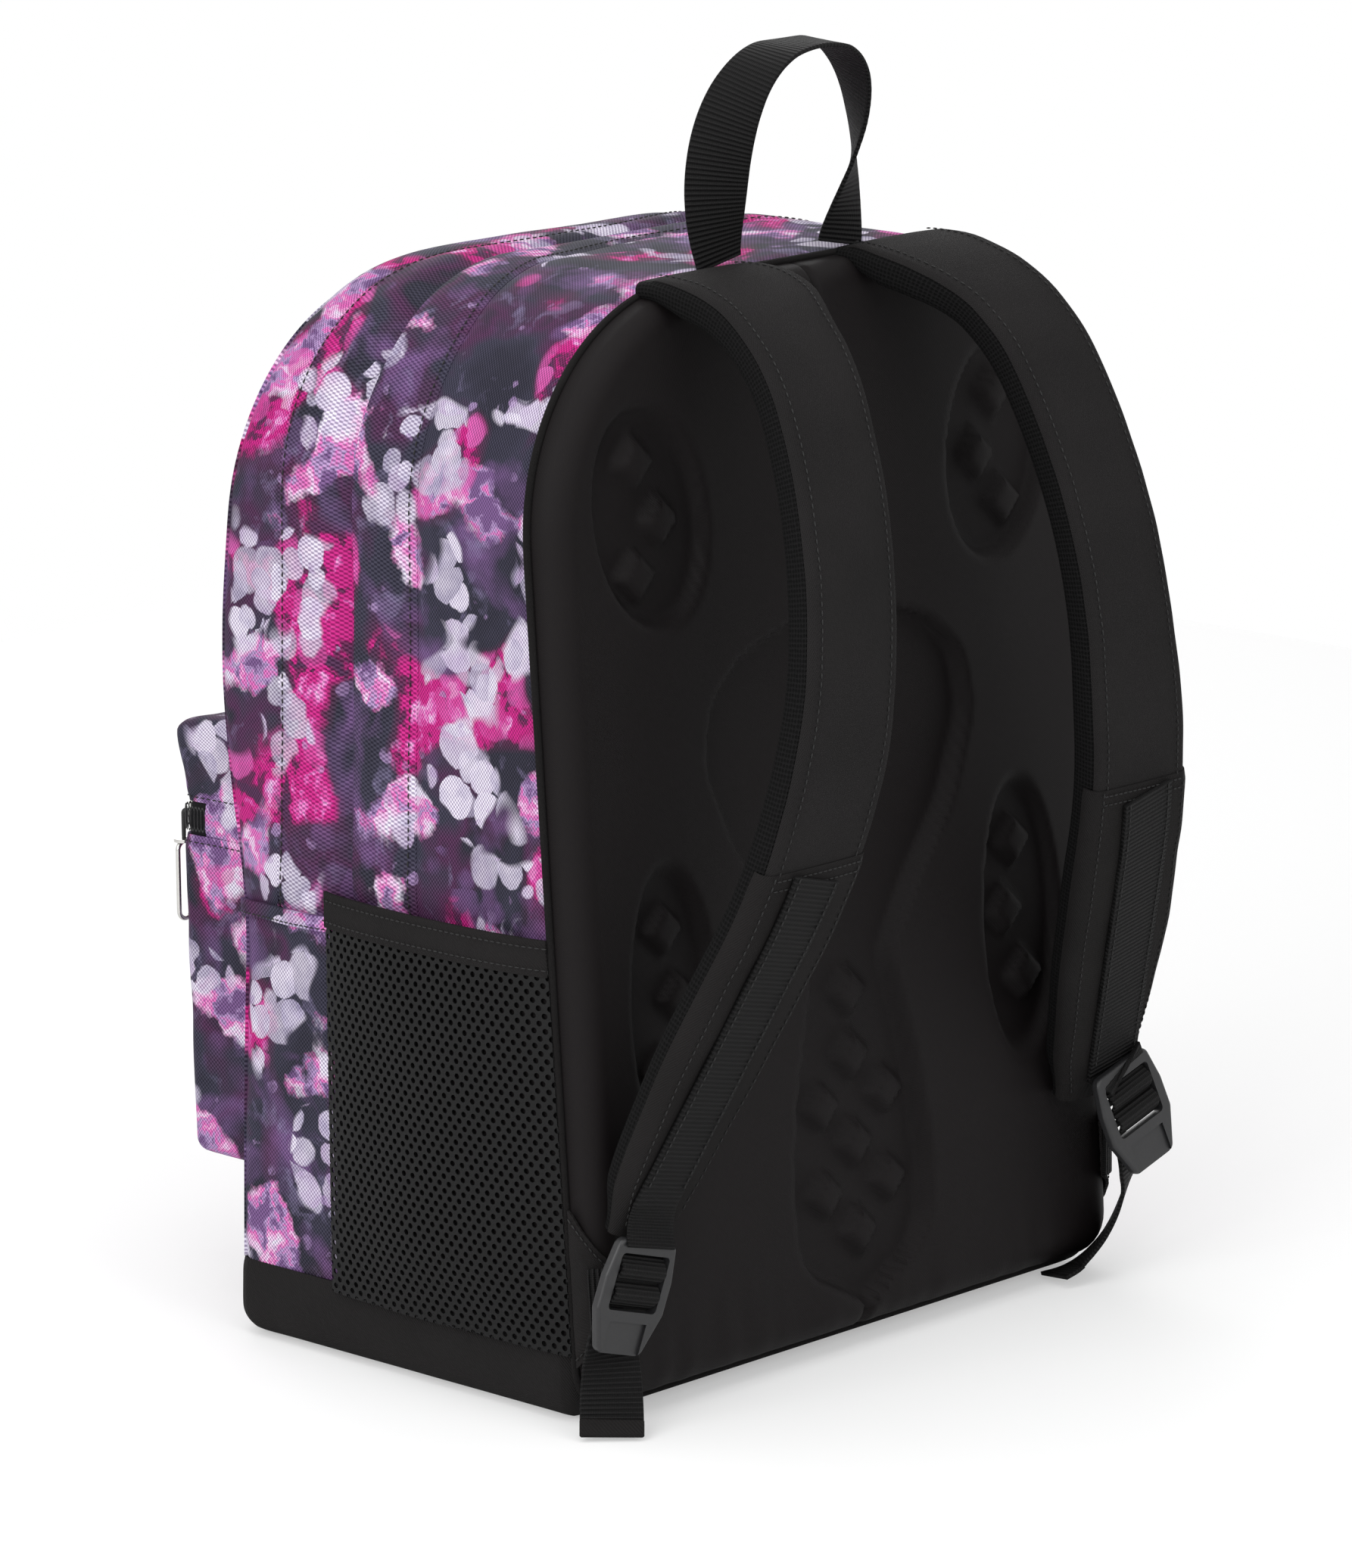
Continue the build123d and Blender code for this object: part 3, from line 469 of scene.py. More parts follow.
for offset, scale, size, soft, share, drift, low, high, dark, light, strength in (
    ((0.3, 0.1, 0.2), 52.0, 0.44, 0.05, 0.7, pinkDrift, 0.54, 0.57, "magenta", "rose", 0.8),
    ((2.2, 1.4, 0.1), 50.0, 0.46, 0.05, 1.0, paleDrift, 0.545, 0.565, "mist", "pearl", 0.8),
    ((4.2, 2.4, 1.1), 52.0, 0.44, 0.03, 0.95, paleDrift, 0.56, 0.575, "lilac", "pearl", 1.0),
    ((6.2, 0.4, 3.1), 58.0, 0.44, 0.03, 0.9, paleDrift, 0.57, 0.585, "mist", "pearl", 1.0),
    ((1.2, 3.4, 2.1), 130.0, 0.36, 0.05, 0.16, streak, 0.48, 0.56, "violet", "lilac", 0.6),
):
    printed = addPetals(printed, offset, scale, size, soft, share, drift, low, high, look[dark], look[light],
                        strength)
threads = useGroup(tree, weave, Vector=where.outputs["UV"], Pitch=0.0018, Slant=0.3).outputs["Height"]
# painted shade and highlight: the print is darkened in the hollows between the threads and lifted a little towards a
# pale tone on the thread tops; the bump gives the same relief
reliefAndPaintedLight = edged(threads, 0.32, 0.68)
deep = mixColour(tree, 1.0, printed, (0.40, 0.37, 0.44), "MULTIPLY")
high = mixColour(tree, 0.03, printed, (0.62, 0.58, 0.70))
tree.links.new(mixColour(tree, reliefAndPaintedLight, deep, high), shader.inputs["Base Color"])
addBump(tree, shader, threads, 0.00030, 0.7)

blackTwill = clothMaterial("blackTwill", (0.0078, 0.0071, 0.0071), 0.0015, 0.8, 0.0006, fleck=0.7)
strapCloth = clothMaterial("strapCloth", (0.0088, 0.0081, 0.0082), 0.0016, 0.15, 0.0008, fleck=0.8)
backCloth = clothMaterial("backCloth", (0.0036, 0.0026, 0.0028), 0.0008, 0.0, 0.0001, roughness=0.62, specular=0.13)
liningCloth = clothMaterial("liningCloth", (0.03, 0.03, 0.034), 0.0008, 0.0, 0.0001, useObject=True)
zipTape = clothMaterial("zipTape", (0.008, 0.008, 0.009), 0.0016, 1.0, 0.0003, useObject=True)

# ribbed webbing: ribs across the strip, threads along it; the hollows between the ribs are painted near black as
# painted shade and the rib tops lighter, and the same relief drives the bump
ribPitch, warpPitch = 0.0019, 0.0009
webbingCloth, tree, shader = newMaterial("webbingCloth", 0.7, None, Specular_IOR_Level=0.15)
where = addNode(tree, "ShaderNodeTexCoord")
parts = addNode(tree, "ShaderNodeSeparateXYZ", Vector=where.outputs["UV"])
ribs = maths(tree, "SINE", maths(tree, "MULTIPLY", parts.outputs[1], fullTurn / ribPitch))
warp = maths(tree, "SINE", maths(tree, "MULTIPLY", parts.outputs[0], fullTurn / warpPitch))
reliefAndPaintedLight = maths(tree, "MULTIPLY_ADD", ribs, 0.42, maths(tree, "MULTIPLY_ADD", warp, 0.08, 0.5))
# painted shade: the colour runs from near black in the rib hollows to the webbing's tone on the rib tops
tree.links.new(mixColour(tree, reliefAndPaintedLight, (0.0001, 0.0001, 0.0001), (0.0088, 0.0084, 0.0086)),
               shader.inputs["Base Color"])
addBump(tree, shader, reliefAndPaintedLight, 0.0009, 1.0)

# spacer mesh: a close knit with small round holes, the holes painted darker than the knit as painted shade inside
# them
spacerMesh, tree, shader = newMaterial("spacerMesh", 0.85, None, Specular_IOR_Level=0.1)
where = addNode(tree, "ShaderNodeTexCoord")
cells = addNode(tree, "ShaderNodeTexVoronoi", {"voronoi_dimensions": "2D"}, Vector=where.outputs["UV"],
                Scale=520.0, Randomness=0.12)
holes = addNode(tree, "ShaderNodeMapRange", Value=cells.outputs["Distance"], From_Min=0.22, From_Max=0.46).outputs[0]
# painted shade: the holes take a darker colour than the knit around them
tree.links.new(mixColour(tree, holes, (0.0008, 0.0008, 0.0008), (0.0052, 0.0050, 0.0052)),
               shader.inputs["Base Color"])
addBump(tree, shader, holes, 0.0006, 0.8)

meshThread, tree, shader = newMaterial("meshThread", 0.6, None, Specular_IOR_Level=0.2)
where = addNode(tree, "ShaderNodeTexCoord")
fibre = addNode(tree, "ShaderNodeTexNoise", Vector=where.outputs["Object"], Scale=900.0, Detail=2.0).outputs["Fac"]
tree.links.new(mixColour(tree, fibre, (0.0006, 0.0006, 0.0006), (0.0022, 0.0022, 0.0024)),
               shader.inputs["Base Color"])
addBump(tree, shader, fibre, 0.0003, 0.5)


def grainMaterial(name, dark, light, roughness, metallic=0.0, scale=700.0, depth=0.00004, **settings):
    material, tree, shader = newMaterial(name, roughness, None, Metallic=metallic, **settings)
    where = addNode(tree, "ShaderNodeTexCoord")
    grain = addNode(tree, "ShaderNodeTexNoise", Vector=where.outputs["Object"], Scale=scale,
                    Detail=3.0).outputs["Fac"]
    smear = addNode(tree, "ShaderNodeTexNoise", Vector=where.outputs["Object"], Scale=60.0, Detail=2.0).outputs["Fac"]
    tree.links.new(mixColour(tree, grain, dark, light), shader.inputs["Base Color"])
    tree.links.new(maths(tree, "MULTIPLY_ADD", smear, 0.16, roughness - 0.08), shader.inputs["Roughness"])
    addBump(tree, shader, grain, depth, 0.5)
    return material


blackPlastic = grainMaterial("blackPlastic", (0.012, 0.012, 0.013), (0.020, 0.020, 0.021), 0.42,
                             Specular_IOR_Level=0.4)
boardPlastic = grainMaterial("boardPlastic", (0.02, 0.02, 0.02), (0.03, 0.03, 0.03), 0.55)
polishedNickel = grainMaterial("polishedNickel", (0.50, 0.49, 0.47), (0.60, 0.59, 0.57), 0.22, 1.0, depth=0.00001)
blackMetal = grainMaterial("blackMetal", (0.02, 0.02, 0.021), (0.035, 0.035, 0.036), 0.38, 0.6)
blackThread = grainMaterial("blackThread", (0.002, 0.002, 0.002), (0.006, 0.006, 0.006), 0.8, scale=2500.0,
                            depth=0.0001)
cordBraid = grainMaterial("cordBraid", (0.008, 0.008, 0.008), (0.018, 0.018, 0.018), 0.75, scale=1800.0, depth=0.0002)
print("materials made")


# the bag's outer form, shared by the shell, its seams and its stitching
bag = {
    "half": 0.155, "tall": 0.440, "crown": 0.095, "leanSlope": 0.0647, "backFoot": 0.0947,
    "taper": 0.0035, "sideCorner": 0.010, "topCorner": 0.022, "baseWall": 0.032, "zipEnd": 0.180,
    "slowFold": 0.0016, "quickFold": 0.0006, "gather": 0.0016,
}
insideBag = (0, 0, 0.2)
straight = bag["tall"] - bag["crown"]
crownRun = bag["crown"] * math.pi / 2
fullRun = 2 * (bag["half"] + straight - bag["crown"] + crownRun)
frontLine = [(0.03, -0.0985), (0.11, -0.096), (0.181, -0.092), (0.205, -0.097), (0.246, -0.104),
             (0.285, -0.107), (0.33, -0.103), (0.36, -0.099), (0.40, -0.095), (0.44, -0.092)]


def archPoint(run):
    # a place on the arch by the way along it from the right foot, and the way out of the bag there
    side = 1 if run <= fullRun / 2 else -1
    run = min(run, fullRun - run)
    if run < straight:
        return side * bag["half"], run, side, 0.0
    angle = (run - straight) / bag["crown"]
    if angle < math.pi / 2:
        x = bag["half"] - bag["crown"] + bag["crown"] * math.cos(angle)
        return side * x, straight + bag["crown"] * math.sin(angle), side * math.cos(angle), math.sin(angle)
    return side * (bag["half"] + straight + crownRun - bag["crown"] - run), bag["tall"], 0.0, 1.0


def topShare(run):
    return smooth(0.40, 0.56, min(run, fullRun - run))


def frontLineAt(height):
    return softTable(frontLine, height, 0.02)


def backLineAt(height):
    return bag["backFoot"] - bag["leanSlope"] * height


def crease(distance, reach=0.004, depth=0.001):
    return depth * math.exp(-((distance / reach) ** 2))


def softness(run, y):
    # long soft folds down the sides, with finer ones gathered round the zips' ends
    height = archPoint(run)[1]
    slow = noise.noise(Vector((run * 7, y * 26, 4.2))) * bag["slowFold"]
    quick = noise.noise(Vector((run * 30, y * 44, 9.1))) * bag["quickFold"]
    gathered = noise.noise(Vector((run * 26, y * 60, 2.7))) * bag["gather"]
    return slow + quick + gathered * crease(height - bag["zipEnd"], 0.035, 1.0)


def shellSpot(run, y, lift=0.0):
    x, z, outX, outZ = archPoint(run)
    sink = bag["taper"] * smooth(0.15, 0.345, z) * (1 - outZ) * (1 if x > 0 else 0.3)
    corner = mix(bag["sideCorner"], bag["topCorner"], outZ)
    depth = frontLineAt(z) + corner - y
    if depth > 0:
        sink += corner - math.sqrt(max(corner * corner - depth * depth, 0))
    sink += 0.004 * outZ * smooth(-0.02, -0.085, y)
    # flat and a little sunk where a side pocket lies over it
    under = smooth(0.200, 0.185, z) * smooth(-0.046, -0.036, y)
    out = lift - sink + softness(run, y) * (1 - 0.85 * under) - 0.0014 * under
    return Vector((x + outX * out, y, z + outZ * out))


def shellOut(run, y):
    x, z, outX, outZ = archPoint(run)
    return Vector((outX, -0.25 * smooth(-0.05, -0.09, y), outZ)).normalized()


def mainSeam(run):
    return 0.010 - 0.024 * topShare(run)


def nearShare(run):
    # 1 where the front flap runs on under the main one, 0 where the sliders are parked and travel
    return 1 - smooth(0.58, 0.71, run)


def mainFlapEdge(run):
    return mix(-0.0242, -0.026 - 0.007 * topShare(run), nearShare(run))


def frontFlapEdge(run):
    return mix(-0.0428, -0.024 - 0.007 * topShare(run), nearShare(run))


def frontSeam(run):
    return -0.069 + 0.015 * topShare(run)


def frontCorner(run):
    return frontLineAt(archPoint(run)[1]) + 0.004


def backSeam(run):
    return backLineAt(archPoint(run)[1]) + 0.0004


# stitchIn is how far inside a seam its row of stitches runs
shellCloth = {"thick": 0.0016, "stepRun": 0.006, "stepAcross": 0.004, "stitchIn": 0.0032}


def clothBand(name, low, high, front, back, place, node):
    # a strip of the shell between two lines, from one way along the arch to another
    countU = max(2, round((high - low) / shellCloth["stepRun"]))
    middle = (low + high) / 2
    width = back(middle) - front(middle)
    countV = max(3, round(width / shellCloth["stepAcross"]))

    def lay(u, v):
        run = mix(low, high, u)
        first, last = front(run), back(run)
        return place(run, mix(first, last, v), min(v, 1 - v) * (last - first), min(u, 1 - u) * (high - low))

    piece = layGrid(name, countU, countV, lay, (high - low, width))
    finishSheet(piece, (0, (front(middle) + back(middle)) / 2, 0.2), shellCloth["thick"],
                "bag", printedCloth, "printed_cloth", node, rounder=True)


def layShell(run, y, edge, end):
    return shellSpot(run, y, -crease(edge, 0.0022, 0.0011) - crease(end, 0.003, 0.0012))


def layMainFlap(run, y, edge, end):
    # the free edge rolls down towards the zip, and the flap stands a little proud of it
    toEdge = y - mainFlapEdge(run)
    toSeam = mainSeam(run) - y
    lift = 0.0009 * smooth(0.0, 0.02, toSeam) - crease(toEdge, 0.0035, 0.0020 * nearShare(run))
    lift -= crease(toSeam, 0.002, 0.0009)
    lift -= crease(toSeam - shellCloth["stitchIn"], 0.0012, 0.0004)
    return shellSpot(run, y, lift - crease(end, 0.004, 0.003))


def layFrontFlap(run, y, edge, end):
    # dips under the main flap where it runs on below it
    toSeam = y - frontSeam(run)
    under = nearShare(run)
    lift = 0.0005 * smooth(0.0, 0.02, toSeam) - crease(toSeam, 0.002, 0.0009)
    lift -= crease(toSeam - shellCloth["stitchIn"], 0.0012, 0.0004)
    lift -= under * 0.0062 * smooth(-0.044, -0.030, y + 0.007 * topShare(run))
    lift -= (1 - under) * crease(frontFlapEdge(run) - y, 0.005, 0.0016)
    return shellSpot(run, y, lift - crease(end, 0.004, 0.003))


baseRun = bag["baseWall"]
zipRun = bag["zipEnd"]
clothBand("rearGusset", baseRun, fullRun - baseRun, mainSeam, backSeam, layShell, "rear_gusset")
clothBand("mainFlap", zipRun, fullRun - zipRun, mainFlapEdge, mainSeam, layMainFlap, "main_zip_flap")
clothBand("frontFlap", zipRun, fullRun - zipRun, frontSeam, frontFlapEdge, layFrontFlap, "front_zip_flap")
clothBand("frontGusset", zipRun, fullRun - zipRun, frontCorner, frontSeam, layShell, "front_gusset")
clothBand("sidePanelRight", baseRun, zipRun, frontCorner, mainSeam, layShell, "side_panel_right")
clothBand("sidePanelLeft", fullRun - zipRun, fullRun - baseRun, frontCorner, mainSeam, layShell,
          "side_panel_left")


def archSheet(name, floor, foot, half, tall, crown, countU, place, rows=(44, 20, 8), flat=(0.3, 0.4)):
    # a sheet that fills the arch: place(x, z, edge) gives each corner from its distance to the outline
    levels = []
    for step in range(rows[2] if foot else 0):
        angle = math.pi / 2 * step / rows[2]
        levels.append((floor + foot * (1 - math.cos(angle)), half - foot * (1 - math.sin(angle))))
    for step in range(rows[0]):
        levels.append((mix(floor + foot, tall - crown, step / rows[0]), half))
    for step in range(rows[1] + 1):
        angle = math.pi / 2 * step / rows[1]
        levels.append((tall - crown + crown * math.sin(angle), half - crown + crown * math.cos(angle)))

    def edgeAway(x, z):
        x = abs(x)
        away = min(half - x, tall - z)
        if z > tall - crown and x > half - crown:
            away = crown - math.hypot(x - half + crown, z - tall + crown)
        if foot:
            away = min(away, z - floor)
            if z < floor + foot and x > half - foot:
                away = foot - math.hypot(x - half + foot, z - floor - foot)
        return max(away, 0.0)

    def lay(u, v):
        at = v * (len(levels) - 1)
        row = min(int(at), len(levels) - 2)
        z = mix(levels[row][0], levels[row + 1][0], at - row)
        reach = mix(levels[row][1], levels[row + 1][1], at - row)
        across = 2 * u - 1
        across = math.copysign(1 - (1 - abs(across)) ** 1.5, across)
        return place(across * reach, z, edgeAway(across * reach, z))

    return layGrid(name, countU, len(levels) - 1, lay, flat)


frontInset = {"side": 0.0020, "top": 0.0094}
frontFill = {"full": 0.005, "fold": 0.0022, "fineFold": 0.0008, "narrow": 0.02, "sag": 0.003}


def layFront(x, z, edge):
    # the rest of the rounded corner, then a full, softly filled front
    outZ = smooth(0.30, 0.43, z) * smooth(0.155, 0.06, abs(x))
    corner = mix(bag["sideCorner"], bag["topCorner"], outZ)
    inset = edge + mix(frontInset["side"], frontInset["top"], outZ)
    y = frontLineAt(z) + 0.0002
    if inset < corner:
        y += corner - math.sqrt(corner * corner - (corner - inset) ** 2)
    full = smooth(0.0, 0.09, edge) * frontFill["full"]
    fold = noise.noise(Vector((x * 14, z * 11, 1.3))) * frontFill["fold"]
    fold += noise.noise(Vector((x * 40, z * 30, 5.3))) * frontFill["fineFold"]
    narrow = 1 - frontFill["narrow"] * smooth(0.15, 0.345, z)
    return Vector((x * narrow, y - full + fold * smooth(0.0, 0.03, edge), z - frontFill["sag"] * outZ))


frontPanel = archSheet("frontPanel", bag["baseWall"], 0, bag["half"] - frontInset["side"],
                       bag["tall"] - frontInset["top"], bag["crown"] - frontInset["side"], 56, layFront)
finishSheet(frontPanel, insideBag, shellCloth["thick"], "bag", printedCloth, "printed_cloth", "front_panel",
            rounder=True)
print("printed shell made")


# proud is how far a stitch's middle stands off the cloth
thread = {"pitch": 0.0034, "length": 0.0025, "thick": 0.00032, "proud": 0.00012}
clearSelection()
bpy.ops.mesh.primitive_uv_sphere_add(segments=6, ring_count=4, radius=1)
stitch = bpy.context.object
bpy.ops.transform.resize(value=(thread["length"] / 2, thread["thick"], thread["thick"]))
bpy.ops.object.transform_apply(location=True, rotation=True, scale=True)
stitch.name = "stitchPattern"


def sewAlong(name, line, body="bag", pitch=thread["pitch"]):
    # stitches along a line of (place, out) pairs, each lying in the cloth
    spots, due = [], pitch / 2
    for (start, out), (end, nextOut) in zip(line, line[1:]):
        span = (end - start).length
        while due <= span:
            place, way = start.lerp(end, due / span), out.lerp(nextOut, due / span)
            spots.append((place + way * thread["proud"], end - start, way))
            due += pitch
        due -= span
    finishPiece(repeatShape(name, stitch, spots), body, blackThread, "webbing")


def zipLine(line, lift, count):
    # (place, out) pairs along the arch from one end of the zips to the other
    runs = [mix(zipRun, fullRun - zipRun, share) for share in shares(count)]
    return [(shellSpot(run, line(run), lift), shellOut(run, line(run))) for run in runs]


rowCount = round((fullRun - 2 * zipRun) / 0.003)
sewAlong("mainFlapStitches", zipLine(lambda run: mainSeam(run) - shellCloth["stitchIn"], 0.0001, rowCount))
sewAlong("frontFlapStitches", zipLine(lambda run: frontSeam(run) + shellCloth["stitchIn"], -0.0002, rowCount))
print("shell stitched")


backPad = {
    "half": 0.1536, "floor": 0.0075, "tall": 0.4388, "crown": 0.0936, "foot": 0.0165, "lean": math.radians(3.7),
    "proud": 0.0160, "edge": 0.0125, "depth": 0.0056, "slope": 0.0046, "pillow": 0.0122, "dome": 0.0052,
    "thick": 0.0030, "swell": 0.0010, "wrinkle": 0.0007,
}
# half widths of the middle hollow by height, and the middles of the pillows in millimetres
spineHalf = [(0.022, 0.0), (0.030, 0.026), (0.044, 0.037), (0.070, 0.040), (0.112, 0.034), (0.158, 0.022),
             (0.186, 0.040),
             (0.214, 0.062), (0.250, 0.077), (0.275, 0.072), (0.294, 0.050), (0.304, 0.0)]
spinePillows = [(0, 48), (-19, 66), (19, 66), (0, 84), (-19, 102), (19, 102), (0, 120), (0, 146)]
sidePillows = [(105, 374), (93, 350), (107, 330), (103, 190), (97, 162), (107, 134)]
# the side hollows: middle, half sizes and tilt in degrees
hollows = [((0.101, 0.352), (0.029, 0.043), -12), ((0.103, 0.158), (0.022, 0.056), 0)]


def backSpot(x, up, out):
    # a place by its way across, up the leaning back, and out of it
    sine, cosine = math.sin(backPad["lean"]), math.cos(backPad["lean"])
    return Vector((x, bag["backFoot"] - up * sine + out * cosine, up * cosine + out * sine))


def hollowShare(x, up):
    # 0 on the foam's full face, 1 down in a moulded hollow
    wall = softTable(spineHalf, up, 0.006) - abs(x)
    for (centreX, centreUp), (halfX, halfUp), tilt in hollows:
        offX, offUp = abs(x) - centreX, up - centreUp
        turn = math.radians(tilt)
        along = (offX * math.cos(turn) + offUp * math.sin(turn)) / halfX
        rise = (offUp * math.cos(turn) - offX * math.sin(turn)) / halfUp
        wall = max(wall, (1 - math.hypot(along, rise)) * halfX)
    return smooth(-backPad["slope"] / 2, backPad["slope"] / 2, wall)


pillowSpots = [(x / 1000, up / 1000) for x, up in spinePillows]
pillowSpots += [(side * x / 1000, up / 1000) for x, up in sidePillows for side in (1, -1)]


def pillowLift(x, up):
    # a diamond pillow: straight drafted sides, softened ridge and a full top
    lift = 0.0
    for centreX, centreUp in pillowSpots:
        reach = (abs(x - centreX) + abs(up - centreUp)) / backPad["pillow"]
        if reach < 1.12:
            lift = max(lift, smooth(1.10, 0.62, reach) * (1 - 0.16 * reach * reach))
    return lift * backPad["dome"]


def layBack(x, up, edge):
    radius = backPad["edge"]
    out = backPad["proud"]
    if edge < radius:
        out += math.sqrt(radius * radius - (radius - edge) ** 2) - radius
        out -= 0.004 * smooth(0.0012, 0.0, edge)
    share = hollowShare(x, up)
    out -= share * backPad["depth"] - pillowLift(x, up) * max(share, 0.15)
    out += backPad["wrinkle"] * noise.noise(Vector((x * 22, up * 16, 3.3)))
    out += backPad["swell"] * smooth(0.02, 0.07, edge) * (1 - share)
    # gathers where the cover turns round the lower edge
    out += backPad["wrinkle"] * noise.noise(Vector((x * 120, up * 16, 8.1))) * smooth(0.06, 0.02, up)
    return backSpot(x, up, min(out, backPad["proud"] + 0.0014))


backPanel = archSheet("backPanel", backPad["floor"], backPad["foot"], backPad["half"], backPad["tall"],
                      backPad["crown"], 150, layBack, rows=(150, 46, 8))
finishSheet(backPanel, insideBag, backPad["thick"], "bag", backCloth, "black_cloth", "back_panel", angle=70)


def roundCord(name, points, radius, body, material, slotName, *nodes):
    # a smooth closed cord through its points, as a mesh
    clearSelection()
    bpy.ops.curve.primitive_nurbs_path_add()
    path = bpy.context.object
    path.name = name
    spline = path.data.splines[0]
    spline.points.add(len(points) - len(spline.points))
    for knot, point in zip(spline.points, points):
        knot.co = (*point, 1)
    spline.use_cyclic_u = True
    spline.order_u = 3
    spline.use_endpoint_u = False
    path.data.resolution_u = 4
    path.data.bevel_depth = radius
    path.data.bevel_resolution = 2
    path.data.use_fill_caps = False
    bpy.ops.object.convert(target="MESH")
    return finishPiece(bpy.context.object, body, material, slotName, *nodes)


def archLoop(half, floor, foot, tall, crown, place, step=0.010):
    # points all the way round the arch, rounded at the foot too
    points = []
    for side in (1, -1):
        run = []
        for turn in range(5):
            angle = math.pi / 2 * turn / 4
            run.append((half - foot * (1 - math.sin(angle)), floor + foot * (1 - math.cos(angle))))
        count = round((tall - crown - floor - foot) / step)
        run += [(half, mix(floor + foot, tall - crown, share)) for share in shares(count)[1:-1]]
        for turn in range(15):
            angle = math.pi / 2 * turn / 14
            run.append((half - crown * (1 - math.cos(angle)), tall - crown * (1 - math.sin(angle))))
        count = round((half - crown) / step)
        run += [(mix(half - crown, 0, share), tall) for share in shares(count)[1:-1]]
        points += [place(side * x, up) for x, up in run[::side]]
    count = round((half - foot) / step)
    points += [place(mix(foot - half, half - foot, share), floor) for share in shares(count)[1:-1]]
    return points


piping = {"half": 0.1543, "floor": 0.0056, "foot": 0.017, "tall": 0.4394, "crown": 0.0945, "out": 0.0013,
          "radius": 0.00155}
backSeamLoop = archLoop(piping["half"], piping["floor"], piping["foot"], piping["tall"], piping["crown"],
                        lambda x, up: backSpot(x, up, piping["out"]))
roundCord("backPiping", backSeamLoop, piping["radius"], "bag", blackTwill, "black_cloth", "back_piping")
print("back panel made")


strapShape = {
    "root": (0.06705, 0.4410), "heading": 10.0, "bends": ((0.078, 73.0), (0.248, 49.0)), "end": 0.4345,
    "thick": 0.0130, "corner": 0.0042, "overlayTop": 0.227, "webTop": 0.223, "webEnd": 0.092, "webTopX": 0.098,
    "webSlope": -0.29, "webWide": 0.027, "webProud": 0.0030, "webThick": 0.0017, "rootEase": 0.030,
    "endEase": 0.022, "thinShare": 0.55, "full": 0.0008, "ripple": 0.0004, "below": 0.0009, "step": 0.004,
}
# where the strap's inner and outer edges stand, by height
strapInner = [(0.080, 0.1165), (0.088, 0.1120), (0.138, 0.0920), (0.190, 0.0760), (0.262, 0.0600),
              (0.335, 0.0520), (0.402, 0.0430), (0.434, 0.0360), (0.446, 0.0140)]
strapOuter = [(0.080, 0.1500), (0.092, 0.1508), (0.108, 0.1520), (0.154, 0.1460), (0.216, 0.1270),
              (0.296, 0.1080), (0.372, 0.0970), (0.420, 0.0910), (0.446, 0.0860)]


def strapLine(run):
    # the line of the strap's outer face from its seam: Y, Z and the heading there
    y, z = strapShape["root"]
    heading = math.radians(strapShape["heading"])
    for radius, turn in strapShape["bends"]:
        step = min(run, radius * math.radians(turn))
        after = heading - step / radius
        y += radius * (math.sin(heading) - math.sin(after))
        z += radius * (math.cos(after) - math.cos(heading))
        heading = after
        run -= step
    return y + math.cos(heading) * run, z + math.sin(heading) * run, heading


def strapRunAt(height):
    # the way along the strap where its face comes down to a height
    low, high = 0.03, 0.50
    for step in range(30):
        middle = (low + high) / 2
        low, high = (middle, high) if strapLine(middle)[1] > height else (low, middle)
    return low


def strapWidth(run):
    z = strapLine(run)[1]
    rootShare = smooth(0.05, 0.0, run)
    inner = mix(softTable(strapInner, z, 0.010), 0.0262, rootShare * 0.9)
    outer = mix(softTable(strapOuter, z, 0.010), 0.0870, rootShare)
    return inner, outer


def roundedLoop(share, width, depth, corner):
    # the way round a rounded rectangle, from the middle of its lower side: place and way out
    flat, side, arc = width / 2 - corner, depth - 2 * corner, corner * math.pi / 2
    at = share * (4 * flat + 2 * side + 4 * arc)
    for length, kind, (x, y), start in (
        (flat, 0, (0, -depth / 2), (1, 0)), (arc, 1, (flat, corner - depth / 2), -90),
        (side, 0, (width / 2, corner - depth / 2), (0, 1)), (arc, 1, (flat, depth / 2 - corner), 0),
        (2 * flat, 0, (flat, depth / 2), (-1, 0)), (arc, 1, (-flat, depth / 2 - corner), 90),
        (side, 0, (-width / 2, depth / 2 - corner), (0, -1)), (arc, 1, (-flat, corner - depth / 2), 180),
        (flat + 1e-9, 0, (-flat, -depth / 2), (1, 0)),
    ):
        if at <= length:
            break
        at -= length
    if kind:
        angle = math.radians(start) + at / corner
        return x + corner * math.cos(angle), y + corner * math.sin(angle), math.cos(angle), math.sin(angle)
    return x + start[0] * at, y + start[1] * at, start[1], -start[0]


def strapSpot(side, run, share, grow=0.0, lift=0.0):
    # a place on the strap's skin by the way along it and the share of the way round it
    inner, outer = strapWidth(run)
    y, z, heading = strapLine(run)
    end = strapShape["end"]
    thinned = max(smooth(strapShape["rootEase"], 0.0, run), smooth(end - strapShape["endEase"], end, run))
    thick = strapShape["thick"] * mix(1.0, strapShape["thinShare"], thinned)
    width = outer - inner + 2 * grow
    corner = min(strapShape["corner"], thick / 2 - 0.0002) + grow
    across, out, wayX, wayOut = roundedLoop(share, width, thick + 2 * grow, corner)
    # the foam stands a little full between its edges, and creases softly across where it bends
    full = strapShape["full"] * (1 - (2 * across / width) ** 2) * max(out, 0) / (thick / 2)
    wrinkle = noise.noise(Vector((run * 60, across * 20, 5.0 * side)))
    ripple = strapShape["ripple"] * wrinkle * max(out, 0) / (thick / 2)
    out += full + ripple - thick / 2 - strapShape["below"] + lift * wayOut
    x = (inner + outer) / 2 + across + lift * wayX
    return Vector((side * x, y - math.sin(heading) * out, z + math.cos(heading) * out))


